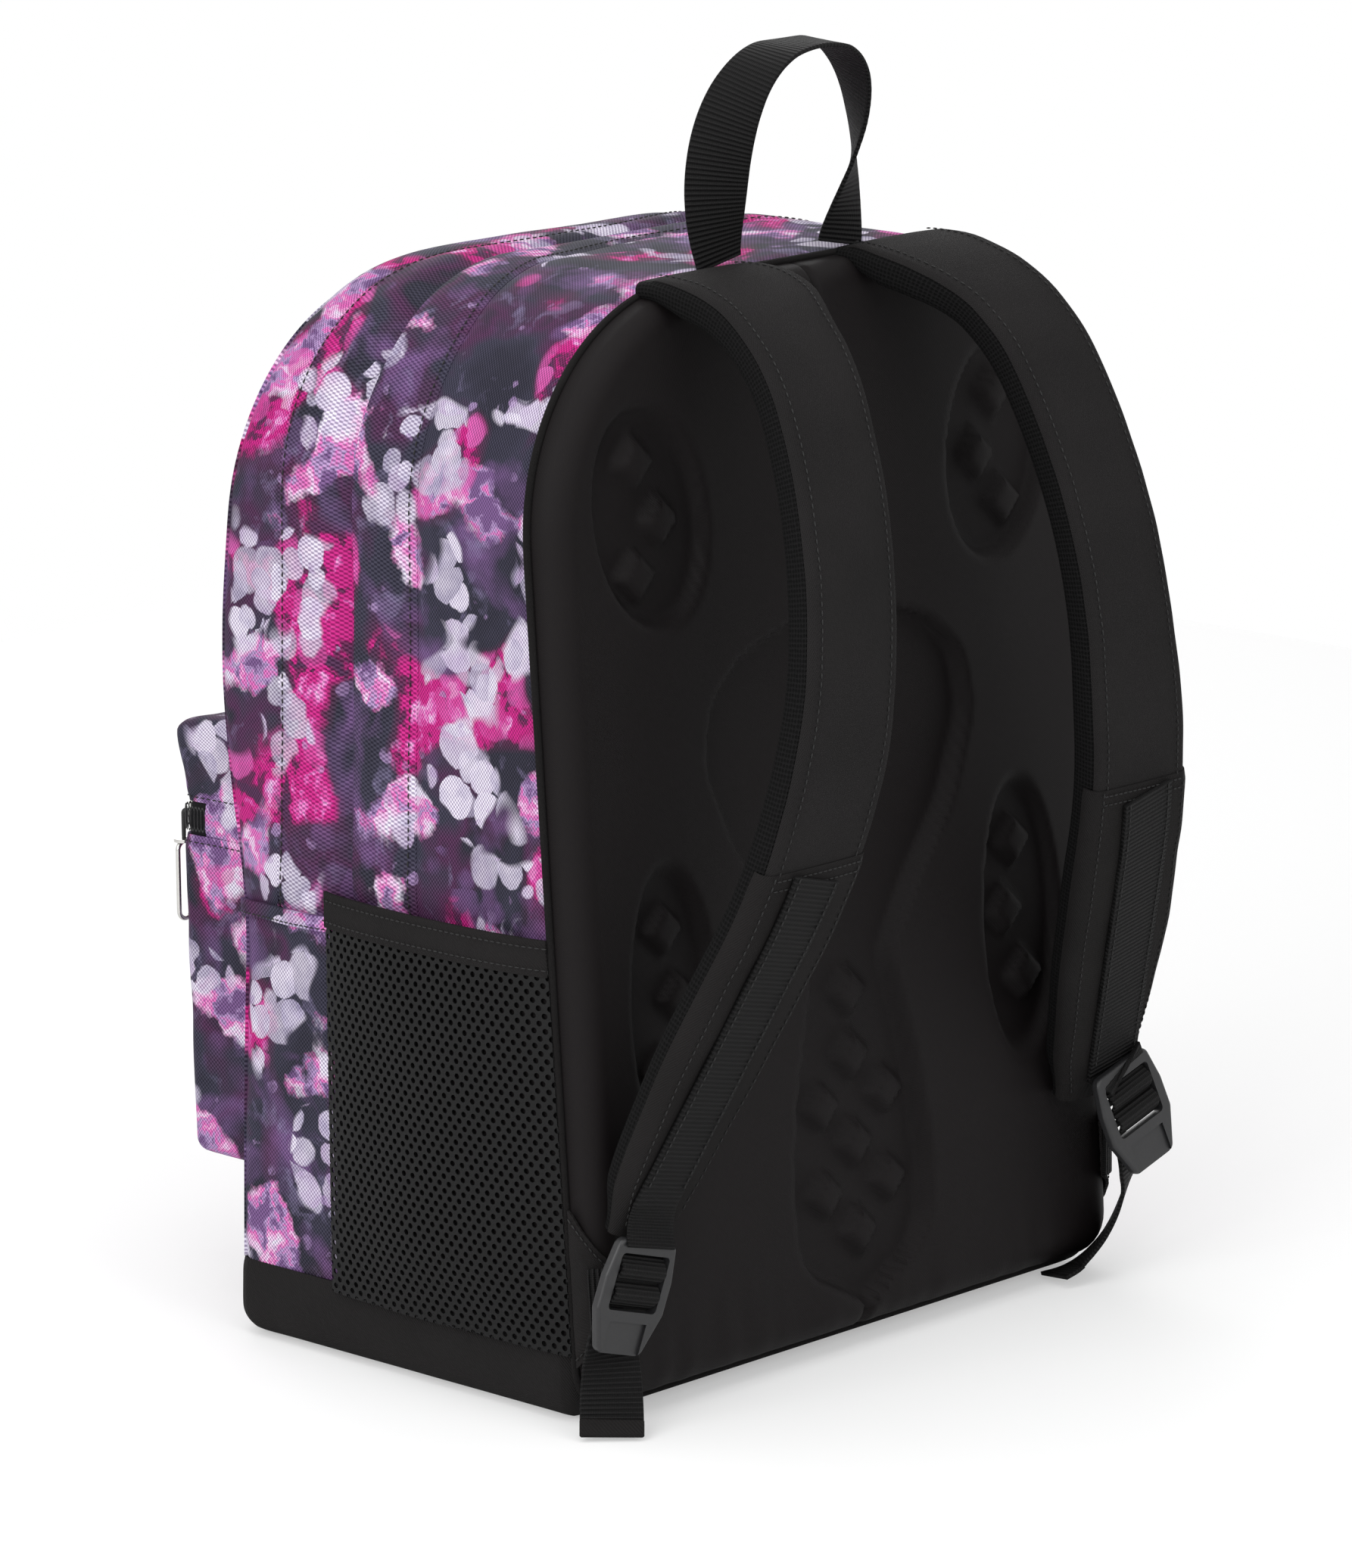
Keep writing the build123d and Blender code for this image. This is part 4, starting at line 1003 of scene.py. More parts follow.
def strapOut(run):
    heading = strapLine(run)[2]
    return Vector((0, -math.sin(heading), math.cos(heading)))


def closeEnds(piece):
    # caps the open ends of a tube
    work = bmesh.new()
    work.from_mesh(piece.data)
    bmesh.ops.holes_fill(work, edges=work.edges, sides=0)
    bmesh.ops.recalc_face_normals(work, faces=work.faces)
    work.to_mesh(piece.data)
    work.free()


def strapSheet(name, side, start, end, low, high, grow, thick, material, slotName, *nodes, roll=0.0):
    # a cloth layer over part of the strap's way round, from one run to another
    def lay(u, v):
        run = mix(start, end, v)
        share = mix(low, high, u)
        tuck = roll * (smooth(0.05, 0.0, u) + smooth(0.95, 1.0, u)) + 0.0006 * smooth(0.012, 0.0, v)
        return strapSpot(side, run, share, grow, -tuck)

    piece = layGrid(name, 44, round((end - start) / strapShape["step"]), lay, (0.11, end - start))
    finishSheet(piece, (side * 0.09, 0.10, 0.25), thick, f"strap_{'right' if side > 0 else 'left'}",
                material, slotName, *nodes, offset=1.0)


def smoothPath(points, step):
    # an even run of places through a few points, eased by their neighbours
    points = [Vector(point) for point in points]
    line = [points[0]]
    padded = [2 * points[0] - points[1], *points, 2 * points[-1] - points[-2]]
    for before, start, end, after in zip(padded, padded[1:], padded[2:], padded[3:]):
        count = max(1, round((end - start).length / step))
        for index in range(1, count + 1):
            share = index / count
            pull = (end - before) * share
            bend = (2 * before - 5 * start + 4 * end - after) * share * share
            turn = (3 * start - 3 * end + after - before) * share * share * share
            line.append(0.5 * (2 * start + pull + bend + turn))
    return line


def layRibbon(name, spots, width, thick, body, material, slotName, *nodes, across=6, wave=0.0):
    # a flat strip through (place, way out) pairs, its ribs across it
    lengths = [0.0]
    for (start, out), (end, nextOut) in zip(spots, spots[1:]):
        lengths.append(lengths[-1] + (end - start).length)
    last = len(spots) - 1

    def lay(u, v):
        at = v * last
        index = min(int(at), last - 1)
        share = at - index
        place = spots[index][0].lerp(spots[index + 1][0], share)
        out = spots[index][1].lerp(spots[index + 1][1], share).normalized()
        first, final = spots[max(index - 1, 0)][0], spots[min(index + 2, last)][0]
        side = (final - first).normalized().cross(out).normalized()
        bend = wave * noise.noise(place * 60) * (1 - (2 * u - 1) ** 2 * 0.5)
        return place + side * (u - 0.5) * width + out * bend

    piece = layGrid(name, across, last, lay, (width, lengths[-1]))
    thicken(piece, thick, 0.0)
    roundEdges(piece, thick * 0.28, 1, 60)
    return finishPiece(piece, body, material, slotName, *nodes, angle=45)


closeStitch = 0.0028  # the pitch of the shorter stitches at hems and bars

locks = {
    # centre, roll and lean of each ladder lock
    "right": ((0.146, 0.117, 0.0556), 17.0, 6.0),
    "left": ((-0.141, 0.1296, 0.073), -17.0, -10.0),
}


def lockSpot(name, across, up, out):
    # a place by a lock's own directions: across it, up it and out of its face
    (x, y, z), roll, lean = locks[name]
    roll, lean = math.radians(roll), math.radians(lean)
    wide = Vector((-math.cos(roll), 0, -math.sin(roll)))
    face = Vector((math.sin(roll) * math.sin(lean), math.cos(lean), -math.cos(roll) * math.sin(lean)))
    return Vector((x, y, z)) + wide * across + face.cross(wide) * up + face * out


for side, name in ((1, "right"), (-1, "left")):
    body = f"strap_{name}"
    title = name.capitalize()
    end = strapShape["end"]

    def layPad(u, v):
        return strapSpot(side, mix(0, end, v), u)

    pad = layGrid(f"strapPad{title}", 84, 130, layPad, (0.165, end), wrap=True)
    closeEnds(pad)
    finishPiece(pad, body, spacerMesh, "lining_mesh", f"strap_pad_{name}", f"strap_mesh_lining_{name}", angle=60)
    overlayStart = strapRunAt(strapShape["overlayTop"])
    strapSheet(f"strapFace{title}", side, 0.005, overlayStart + strapShape["step"], 0.292, 0.708, 0.0002, 0.0007,
               strapCloth, "black_cloth", roll=0.0004)
    strapSheet(f"strapOverlay{title}", side, overlayStart, end - 0.0005, 0.262, 0.738, 0.0009, 0.0010,
               blackTwill, "black_cloth", f"strap_overlay_{name}", roll=0.0006)
    for place, low, high, share, grow in (
        ("Neck", 0.004, overlayStart, 0.655, 0.0010), ("Arm", 0.004, overlayStart, 0.345, 0.0010),
        ("LowNeck", overlayStart, end - 0.006, 0.668, 0.0020), ("LowArm", overlayStart, end - 0.006, 0.332, 0.0020),
    ):
        runs = [mix(low, high, along) for along in shares(round((high - low) / strapShape["step"]))]
        line = [(strapSpot(side, run, share, grow), strapOut(run)) for run in runs]
        sewAlong(f"strapStitches{place}{title}", line, body)
    for offset in (0.0022, 0.0062):
        run = overlayStart + offset
        line = [(strapSpot(side, run, mix(0.34, 0.66, share), 0.0020), strapOut(run)) for share in shares(20)]
        sewAlong(f"strapCrossStitches{title}{round(offset * 10000)}", line, body, closeStitch)

    # the webbing sewn down the strap, on to the lock's top bar
    spots = []
    for share in shares(33):
        height = mix(strapShape["webTop"], strapShape["webEnd"], share)
        run = strapRunAt(height)
        y, z, heading = strapLine(run)
        x = strapShape["webTopX"] + strapShape["webSlope"] * (height - strapShape["webTop"])
        out = strapOut(run)
        spots.append((Vector((side * x, y, z)) + out * strapShape["webProud"], out))
    lead = lockSpot(name, 0, 0.0206, 0.0034)
    last, lastOut = spots[-1]
    lockOut = (lockSpot(name, 0, 0, 1) - lockSpot(name, 0, 0, 0)).normalized()
    for share in shares(6)[1:]:
        sag = 0.0015 * math.sin(math.pi * share)
        spots.append((last.lerp(lead, share) - lockOut * sag, lastOut.lerp(lockOut, share)))
    layRibbon(f"strapWebbing{title}", spots, strapShape["webWide"], strapShape["webThick"], body, webbingCloth,
              "webbing", f"strap_webbing_{name}", across=8, wave=0.0004)
    for edge in (-1, 1):
        line = []
        for (place, out), (ahead, nextOut) in zip(spots[:32], spots[1:33]):
            across = (ahead - place).normalized().cross(out).normalized()
            line.append((place + across * edge * 0.0112 + out * 0.0010, out))
        sewAlong(f"webbingStitches{title}{'In' if edge > 0 else 'Out'}", line, body, 0.0030)

    # the webbing over the lock's two bars
    profile = [(0.0172, -0.0018), (0.0150, 0.0002), (0.0128, 0.0022), (0.01075, 0.0030), (0.0086, 0.0022),
               (0.0070, 0.0002), (0.0060, -0.0012), (0.0050, 0.0002), (0.0034, 0.0022), (0.00125, 0.0030),
               (-0.0009, 0.0022), (-0.0030, 0.0000), (-0.0046, -0.0022)]
    line = smoothPath([lockSpot(name, 0, up, out) for up, out in profile], 0.0008)
    wide = lockSpot(name, 1, 0, 0) - lockSpot(name, 0, 0, 0)
    bar = []
    for index, place in enumerate(line):
        ahead = line[min(index + 1, len(line) - 1)] - line[max(index - 1, 0)]
        out = wide.cross(ahead).normalized()
        bar.append((place, out if out.dot(lockOut) > 0 else -out))
    layRibbon(f"lockWebbing{title}", bar, 0.0252, 0.0014, f"lock_{name}", webbingCloth, "webbing",
              f"lock_webbing_{name}", across=8)
print("straps made")


def evenly(spots, step):
    # the same line of (place, way out) pairs at even distances
    line, due = [spots[0]], step
    for (start, out), (end, nextOut) in zip(spots, spots[1:]):
        span = (end - start).length
        while due <= span:
            share = due / span
            line.append((start.lerp(end, share), out.lerp(nextOut, share)))
            due += step
        due -= span
    line.append(spots[-1])
    return line


def easedSpots(pairs, step):
    # a smooth line through a few (place, way out) pairs
    places = smoothPath([place for place, out in pairs], step)
    outs = smoothPath([Vector(out) for place, out in pairs], step / 3)
    spots = []
    for index, place in enumerate(places):
        at = index / (len(places) - 1) * (len(outs) - 1)
        low = min(int(at), len(outs) - 2)
        spots.append((place, outs[low].lerp(outs[low + 1], at - low).normalized()))
    return evenly(spots, step)


tails = {
    "wide": 0.0250, "thick": 0.0016, "step": 0.0016,
    "right": {"facing": 43.8, "aside": 0.0246,
              "points": [(0.185, 0.0306), (0.188, 0.018), (0.1915, 0.008), (0.1955, 0.0020)]},
    "left": {"points": [(-0.1435, 0.1270, 0.060), (-0.1425, 0.1235, 0.040), (-0.1385, 0.1165, 0.020),
                        (-0.1300, 0.1090, 0.0070), (-0.1190, 0.1045, 0.0030)]},
}
facing = math.radians(tails["right"]["facing"])
faceWay = Vector((math.cos(facing), math.sin(facing), 0))
tailSide = faceWay.cross(Vector((0, 0, 1)))
rightOut = lockSpot("right", 0, 0, 1) - lockSpot("right", 0, 0, 0)
rightTail = [(lockSpot("right", 0, -0.0085, -0.0030), rightOut),
             (lockSpot("right", 0, -0.0165, -0.0036), rightOut)]
rightTail += [(faceWay * reach + tailSide * tails["right"]["aside"] + Vector((0, 0, z)), faceWay)
              for reach, z in tails["right"]["points"]]
rightTail = easedSpots(rightTail, tails["step"])
layRibbon("webbingTailRight", rightTail, tails["wide"], tails["thick"], "lock_right", webbingCloth, "webbing",
          "webbing_tail_right", across=8)
layRibbon("tailHemRight", [(place + out * 0.0006, out) for place, out in rightTail[-6:]], 0.0252, 0.0026,
          "lock_right", blackTwill, "webbing", across=8)
leftOut = lockSpot("left", 0, 0, 1) - lockSpot("left", 0, 0, 0)
leftTail = [(lockSpot("left", 0, -0.0075, -0.0034), leftOut)]
leftWays = [(-0.4, 0.9, 0), (-0.55, 0.83, -0.05), (-0.55, 0.75, -0.35), (-0.3, 0.5, -0.8), (0, 0.2, -1)]
leftTail += [(Vector(place), Vector(out)) for place, out in zip(tails["left"]["points"], leftWays)]
leftTail = easedSpots(leftTail, tails["step"])
layRibbon("webbingTailLeft", leftTail, tails["wide"], tails["thick"], "lock_left", webbingCloth, "webbing",
          "webbing_tail_left", across=8)

# the wings wrap the lower back corners, and a short webbing runs out of each
wing = {"corner": (0.1415, 0.0035), "bore": 0.0129, "thick": 0.0017, "turn": 78.0, "tall": (0.0245, 0.0877),
        "tip": (0.0405, 0.0655), "webUp": 0.053, "webRadius": 0.0160}


def cornerSpot(side, angle, up, radius):
    angle = math.radians(angle)
    x, out = wing["corner"]
    return backSpot(side * (x + radius * math.cos(angle)), up, out + radius * math.sin(angle))


def cornerOut(side, angle):
    angle = math.radians(angle)
    return Vector((side * math.cos(angle), math.sin(angle), 0))


def wingEdge(end, share):
    # the wing's lower (0) or upper (1) edge, narrowing towards its tip
    narrow = math.sin(math.radians(share * wing["turn"])) ** 1.2
    return mix(wing["tall"][end], wing["tip"][end], narrow)


for side, name in ((1, "Right"), (-1, "Left")):
    def layWing(u, v):
        low, high = wingEdge(0, u), wingEdge(1, u)
        edge = min(v, 1 - v) * (high - low)
        fold = 0.0003 * noise.noise(Vector((u * 4, v * 9, side)))
        radius = wing["bore"] + 0.0004 + fold - crease(edge - shellCloth["stitchIn"], 0.0010, 0.0003)
        return cornerSpot(side, u * wing["turn"], mix(low, high, v), radius)

    flap = layGrid(f"cornerWing{name}", 26, 40, layWing, (0.019, 0.064))
    finishSheet(flap, (side * 0.12, 0.07, 0.05), wing["thick"] - 0.0004, "bag", blackTwill, "black_cloth",
                f"wing_{name.lower()}", offset=1.0)
    for end, title, inwards in ((0, "Foot", 1), (1, "Top", -1)):
        line = []
        for share in shares(20):
            up = wingEdge(end, share) + inwards * shellCloth["stitchIn"]
            angle = share * wing["turn"]
            line.append((cornerSpot(side, angle, up, wing["bore"] + wing["thick"] + 0.0001), cornerOut(side, angle)))
        sewAlong(f"wingStitches{name}{title}", line, "bag", closeStitch)
    angles = [mix(31, 83, share) for share in shares(12)]
    spots = [(cornerSpot(side, angle, wing["webUp"], wing["webRadius"]), cornerOut(side, angle))
             for angle in angles]
    layRibbon(f"adjusterWebbing{name}", spots, 0.0248, 0.0016, "bag", webbingCloth, "webbing",
              f"adjuster_webbing_{name.lower()}", across=8)

handle = {"y": 0.06325, "foot": 0.4408, "rise": 0.0845, "half": 0.035, "lean": 0.0125, "wide": 0.0250,
          "thick": 0.0017}


def handlePlace(turn):
    # the loop's middle line from foot to foot, fuller at the shoulders than a half circle
    angle = math.radians(turn)
    reach = abs(math.cos(angle)) ** 0.55 * (1 + 0.25 * abs(math.sin(2 * angle)))
    x = math.copysign(handle["half"] * reach, 90 - turn)
    y = handle["y"] + handle["lean"] * math.sin(angle) ** 1.5
    return Vector((x, y, handle["foot"] + handle["rise"] * math.sin(angle)))


knots = []
for step in range(25):
    turn = 180 * step / 24
    ahead = (handlePlace(min(turn + 1, 180)) - handlePlace(max(turn - 1, 0))).normalized()
    if step in (0, 24):
        ahead = Vector((0, 0, 1 if step == 0 else -1))
    twist = math.radians(90) * math.sin(math.radians(turn)) ** 2
    backwards = Vector((0, 1, 0))
    across = backwards.cross(ahead).normalized() * math.cos(twist) - backwards * math.sin(twist)
    knots.append((handlePlace(turn), across.cross(ahead)))
handleLine = easedSpots(knots, tails["step"])
layRibbon("haulHandle", handleLine, handle["wide"], handle["thick"], "haul_handle", webbingCloth, "webbing",
          "haul_handle", across=10)
print("webbing and handle made")


def boxSkin(name, xs, ys, zs, sides, place):
    # the chosen sides of a box as one mesh; place(corner) moves each corner
    work = bmesh.new()
    marks = work.loops.layers.uv.new("UVMap")
    known = {}

    def knot(x, y, z):
        key = (round(x, 6), round(y, 6), round(z, 6))
        if key not in known:
            known[key] = work.verts.new(place(Vector((x, y, z))))
        return known[key]

    def cover(firsts, seconds, corner, flip):
        for first, second in zip(firsts, firsts[1:]):
            for third, fourth in zip(seconds, seconds[1:]):
                ring = [(first, third), (second, third), (second, fourth), (first, fourth)]
                ring = ring[::-1] if flip else ring
                face = work.faces.new([knot(*corner(a, b)) for a, b in ring])
                for loop, (a, b) in zip(face.loops, ring):
                    loop[marks].uv = (a, b)

    for side in sides:
        if side in ("front", "back"):
            y = ys[0] if side == "front" else ys[-1]
            cover(xs, zs, lambda a, b: (a, y, b), side == "back")
        elif side in ("right", "left"):
            x = xs[-1] if side == "right" else xs[0]
            cover(ys, zs, lambda a, b: (x, a, b), side == "left")
        else:
            z = zs[-1] if side == "top" else zs[0]
            cover(xs, ys, lambda a, b: (a, b, z), side == "bottom")
    mesh = bpy.data.meshes.new(name)
    work.to_mesh(mesh)
    work.free()
    return addPiece(name, mesh)


def spaced(low, high, step, crowd=False):
    # even places between two ends, with closer ones near both if crowd is set
    places = {round(mix(low, high, share), 5) for share in shares(max(1, round((high - low) / step)))}
    for near in (0.0015, 0.004, 0.008, 0.012) if crowd else ():
        places |= {round(low + near, 5), round(high - near, 5)}
    return sorted(places)


def roundBox(point, low, high, radius):
    # moves a corner of a box on to the same box with rounded edges
    core = Vector([min(max(value, first + radius), last - radius) for value, first, last in zip(point, low, high)])
    way = point - core
    return core + way.normalized() * radius if way.length > radius else point


pocket = {
    "half": 0.120, "floor": 0.057, "zipLow": 0.192, "zipHigh": 0.206, "brow": 0.238, "top": 0.252, "reach": 0.065,
    "overhang": 0.005, "radius": 0.0065, "foot": 0.095, "behind": -0.0935, "thick": 0.0014, "full": 0.0035,
    "fullTall": 0.14, "hollow": 0.0035, "fold": 0.0013, "fineFold": 0.0006, "browRoll": 0.0025, "sag": 0.003,
}


def arch(share):
    # a half wave: 0 at both ends of its share and 1 in the middle
    return math.sin(math.pi * max(0.0, min(1.0, share)))


def pocketPlace(point, sink=0.0):
    # rounded edges, a full front that leans out to the brow, sides that hollow a little, and soft folds
    low = Vector((-pocket["half"], -pocket["foot"] - pocket["reach"], pocket["floor"]))
    high = Vector((pocket["half"], -0.06, pocket["top"]))
    spot = roundBox(point, low, high, pocket["radius"])
    ahead = max(0.0, (-pocket["foot"] - spot.y) / pocket["reach"])
    across = abs(spot.x) / pocket["half"]
    rise = (spot.z - pocket["floor"]) / (pocket["brow"] - pocket["floor"])
    # the top slopes down to the brow
    if spot.z > pocket["zipHigh"]:
        fall = (pocket["top"] - pocket["brow"]) * ahead
        spot.z -= fall * (spot.z - pocket["zipHigh"]) / (pocket["top"] - pocket["zipHigh"])
    full = pocket["full"] * (1 - across ** 4) * arch((spot.z - pocket["floor"]) / pocket["fullTall"])
    full *= smooth(0.6, 1.0, ahead)
    hollow = pocket["hollow"] * arch(ahead) * arch(rise) * smooth(0.9, 1.0, across)
    fold = noise.noise(spot * 26) * pocket["fold"]
    fold += noise.noise(spot * 60 + Vector((4, 4, 4))) * pocket["fineFold"]
    pinch = crease(spot.z - pocket["zipLow"], 0.003, 0.0010) + crease(spot.z - pocket["zipHigh"], 0.003, 0.0010)
    side = smooth(0.92, 1.0, across)
    lean = pocket["overhang"] * max(0.0, rise) + pocket["browRoll"] * smooth(0.214, 0.236, spot.z)
    spot.y -= lean * ahead + full + (fold - pinch - sink) * smooth(0.85, 1.0, ahead)
    spot.x -= math.copysign(hollow + (pinch + sink - fold) * side, spot.x)
    top = smooth(0.236, 0.25, point.z)
    spot.z += (fold * 1.4 - pocket["sag"] * arch(ahead) * (1 - across ** 2)) * top
    return spot


frontY = -pocket["foot"] - pocket["reach"]
pocketXs = spaced(-pocket["half"], pocket["half"], 0.006, crowd=True)
pocketYs = spaced(frontY, pocket["behind"], 0.005, crowd=True)
lowerZs = spaced(pocket["floor"], pocket["zipLow"], 0.006, crowd=True)
upperZs = spaced(pocket["zipHigh"], pocket["top"], 0.004, crowd=True)
zipZs = spaced(pocket["zipLow"], pocket["zipHigh"], 0.002)
pocketLower = boxSkin("pocketLower", pocketXs, pocketYs, lowerZs, ("front", "right", "left", "bottom"), pocketPlace)
pocketUpper = boxSkin("pocketUpper", pocketXs, pocketYs, upperZs, ("front", "right", "left", "top"), pocketPlace)
for piece, node in ((pocketLower, "pocket_lower"), (pocketUpper, "pocket_upper")):
    finishSheet(piece, (0, -0.10, 0.15), pocket["thick"], "bag", printedCloth, "printed_cloth", node, rounder=True)

# the pocket's zip: printed ends round the sides, dark tape across the front, its coil and end tabs
pocketZip = {"tabLong": 0.0135, "tabSink": 0.0004, "tabThick": 0.0012, "tapeSink": 0.0012, "tapeThick": 0.0010,
             "inside": (0, -0.10, 0.2)}
tabFront = frontY + pocketZip["tabLong"]
tabYs = spaced(tabFront, pocket["behind"], 0.005)
pocketTab = boxSkin("pocketZipTabs", pocketXs, tabYs, zipZs, ("right", "left"),
                    lambda point: pocketPlace(point, pocketZip["tabSink"]))
finishSheet(pocketTab, pocketZip["inside"], pocketZip["tabThick"], "bag", printedCloth, "printed_cloth")
tapeYs = sorted({y for y in pocketYs if y <= tabFront + 0.001} | {tabFront + 0.0015})
pocketTape = boxSkin("pocketZipTape", pocketXs, tapeYs, zipZs, ("front", "right", "left"),
                     lambda point: pocketPlace(point, pocketZip["tapeSink"]))
finishSheet(pocketTape, pocketZip["inside"], pocketZip["tapeThick"], "bag", zipTape, "zip", "pocket_zip")

coil = {"pitch": 0.0018, "wide": 0.0050, "thick": 0.00055}
clearSelection()
bpy.ops.mesh.primitive_torus_add(major_segments=10, minor_segments=4, major_radius=coil["wide"],
                                 minor_radius=coil["thick"])
bpy.ops.transform.resize(value=(0.24, 1, 0.34))
bpy.ops.object.transform_apply(location=True, rotation=True, scale=True)
tooth = bpy.context.object
tooth.name = "coilPattern"
zipMiddle = (pocket["zipLow"] + pocket["zipHigh"]) / 2
corners = [(1, tabFront), (1, frontY + pocket["radius"]), (1, frontY), (-1, frontY),
           (-1, frontY + pocket["radius"]), (-1, tabFront)]
coilRoute = [Vector((side * pocket["half"], y, zipMiddle)) for side, y in corners]
dense = []
for start, end in zip(coilRoute, coilRoute[1:]):
    dense += [start.lerp(end, share) for share in shares(max(2, round((end - start).length / 0.0008)))[:-1]]
dense = [pocketPlace(point, pocketZip["tabSink"]) for point in dense + [coilRoute[-1]]]


def outwards(line):
    # pairs each place inside a level line round the pocket with its way out
    pairs = []
    for before, place, ahead in zip(line, line[1:], line[2:]):
        if (ahead - before).length > 1e-6:
            out = Vector((0, 0, 1)).cross(ahead - before).normalized()
            pairs.append((place, out if out.dot(Vector((place.x, place.y + 0.10, 0))) > 0 else -out))
    return pairs


even = evenly(outwards(dense), coil["pitch"])
spots = [(place + out * 0.0002, ahead - place, out) for (place, out), (ahead, nextOut) in zip(even, even[1:])
         if (ahead - place).length > 1e-5]
finishPiece(repeatShape("pocketZipCoil", tooth, spots), "bag", blackPlastic, "zip")

# the two long zips: a tape sunk between the flaps, with its coil
longZip = {"sink": 0.0065, "tapeBelow": 0.0012, "coilBelow": 0.0006, "thick": 0.0010, "toothPitch": 1.5}
for name, node, first, last, middle in (("frontZip", "front_zip", -0.0560, -0.0336, -0.0452),
                                        ("mainZip", "main_zip", -0.0334, -0.0100, -0.0218)):
    def layTape(u, v):
        run = mix(zipRun, fullRun - zipRun, u)
        return shellSpot(run, mix(first, last, v), -longZip["sink"] - longZip["tapeBelow"])

    tape = layGrid(name, 150, 8, layTape, (fullRun - 2 * zipRun, last - first))
    finishSheet(tape, (0, middle, 0.2), longZip["thick"], "bag", zipTape, "zip", node)
    runs = [mix(zipRun, fullRun - zipRun, share) for share in shares(300)]
    line = [(shellSpot(run, middle, -longZip["sink"] - longZip["coilBelow"]), shellOut(run, 0)) for run in runs]
    even = evenly(line, coil["pitch"] * longZip["toothPitch"])
    spots = [(place, ahead - place, out) for (place, out), (ahead, nextOut) in zip(even, even[1:])]
    finishPiece(repeatShape(f"{name}Coil", tooth, spots), "bag", blackThread, "zip")
bpy.data.objects.remove(tooth, do_unlink=True)

# a row of stitches round the pocket on each side of its zip
for name, level in (("Low", pocket["zipLow"] - 0.0028), ("High", pocket["zipHigh"] + 0.0028)):
    corners = [(1, -pocket["foot"]), (1, frontY), (-1, frontY), (-1, -pocket["foot"])]
    route = [Vector((side * pocket["half"], y, level)) for side, y in corners]
    line = []
    for start, end in zip(route, route[1:]):
        line += [start.lerp(end, share) for share in shares(round((end - start).length / 0.003))[:-1]]
    pairs = outwards([pocketPlace(point) for point in line])
    sewAlong(f"pocketStitches{name}", [(place + out * 0.0001, out) for place, out in pairs])

base = {"half": 0.155, "front": -0.0995, "back": 0.0945, "tall": 0.0322, "radius": 0.011, "thick": 0.0016}


def basePlace(point):
    # rounded edges, small folds on the walls and a pull along the seam to the printed cloth
    low = Vector((-base["half"], base["front"], 0))
    high = Vector((base["half"], base["back"], 0.20))
    spot = roundBox(point, low, high, base["radius"])
    edge = smooth(0.0, 0.004, spot.z)
    fold = noise.noise(spot * 40) * 0.0006 * edge
    pull = crease(spot.z - base["tall"], 0.0025, 0.0011) + 0.0010 * smooth(0.012, 0.0, spot.z)
    way = Vector((spot.x / base["half"], spot.y / 0.095, 0))
    past = (math.copysign(max(0, abs(way.x) - 0.86), way.x), math.copysign(max(0, abs(way.y) - 0.8), way.y), 0)
    way = Vector(past)
    if way.length > 0:
        spot += way.normalized() * (fold - pull) * smooth(0.0, 0.05, way.length)
    return spot


basePanel = boxSkin("basePanel", spaced(-base["half"], base["half"], 0.008, crowd=True),
                    spaced(base["front"], base["back"], 0.008, crowd=True), spaced(0, base["tall"], 0.003),
                    ("front", "back", "right", "left", "bottom"), basePlace)
finishSheet(basePanel, (0, 0, 0.03), base["thick"], "bag", blackTwill, "black_cloth", "base_panel",
            rounder=True)
print("front pocket and base made")


sidePocket = {"front": -0.038, "floor": 0.029, "top": 0.180, "rim": 0.194, "bulge": 0.0075, "wall": 0.1553,
              "wide": 0.127, "clothThick": 0.0012, "liningThick": 0.0005, "bindingThick": 0.0020}


def pocketBow(side, share, z, proud=0.0):
    # the bowed outer face of a side pocket: full in the middle, drawn in at its foot and its ends
    y = mix(sidePocket["front"] - 0.0014 - proud, backLineAt(z) + 0.0010, share)
    full = max(0.0, 1 - (2 * share - 1) ** 2) ** 0.8
    rise = smooth(sidePocket["floor"] - 0.004, sidePocket["floor"] + 0.035, z)
    sway = 0.0010 * noise.noise(Vector((y * 22, z * 18, side * 3.0))) * full
    out = (sidePocket["bulge"] * (0.35 + 0.65 * rise) - 0.0010 * smooth(0.150, 0.194, z)) * full + sway
    return Vector((side * (sidePocket["wall"] + 0.0006 + proud + out), y, z))


knit = {"wide": 0.0048, "rise": 0.0030, "holeWide": 0.00122, "holeTall": 0.00118, "thick": 0.0008}


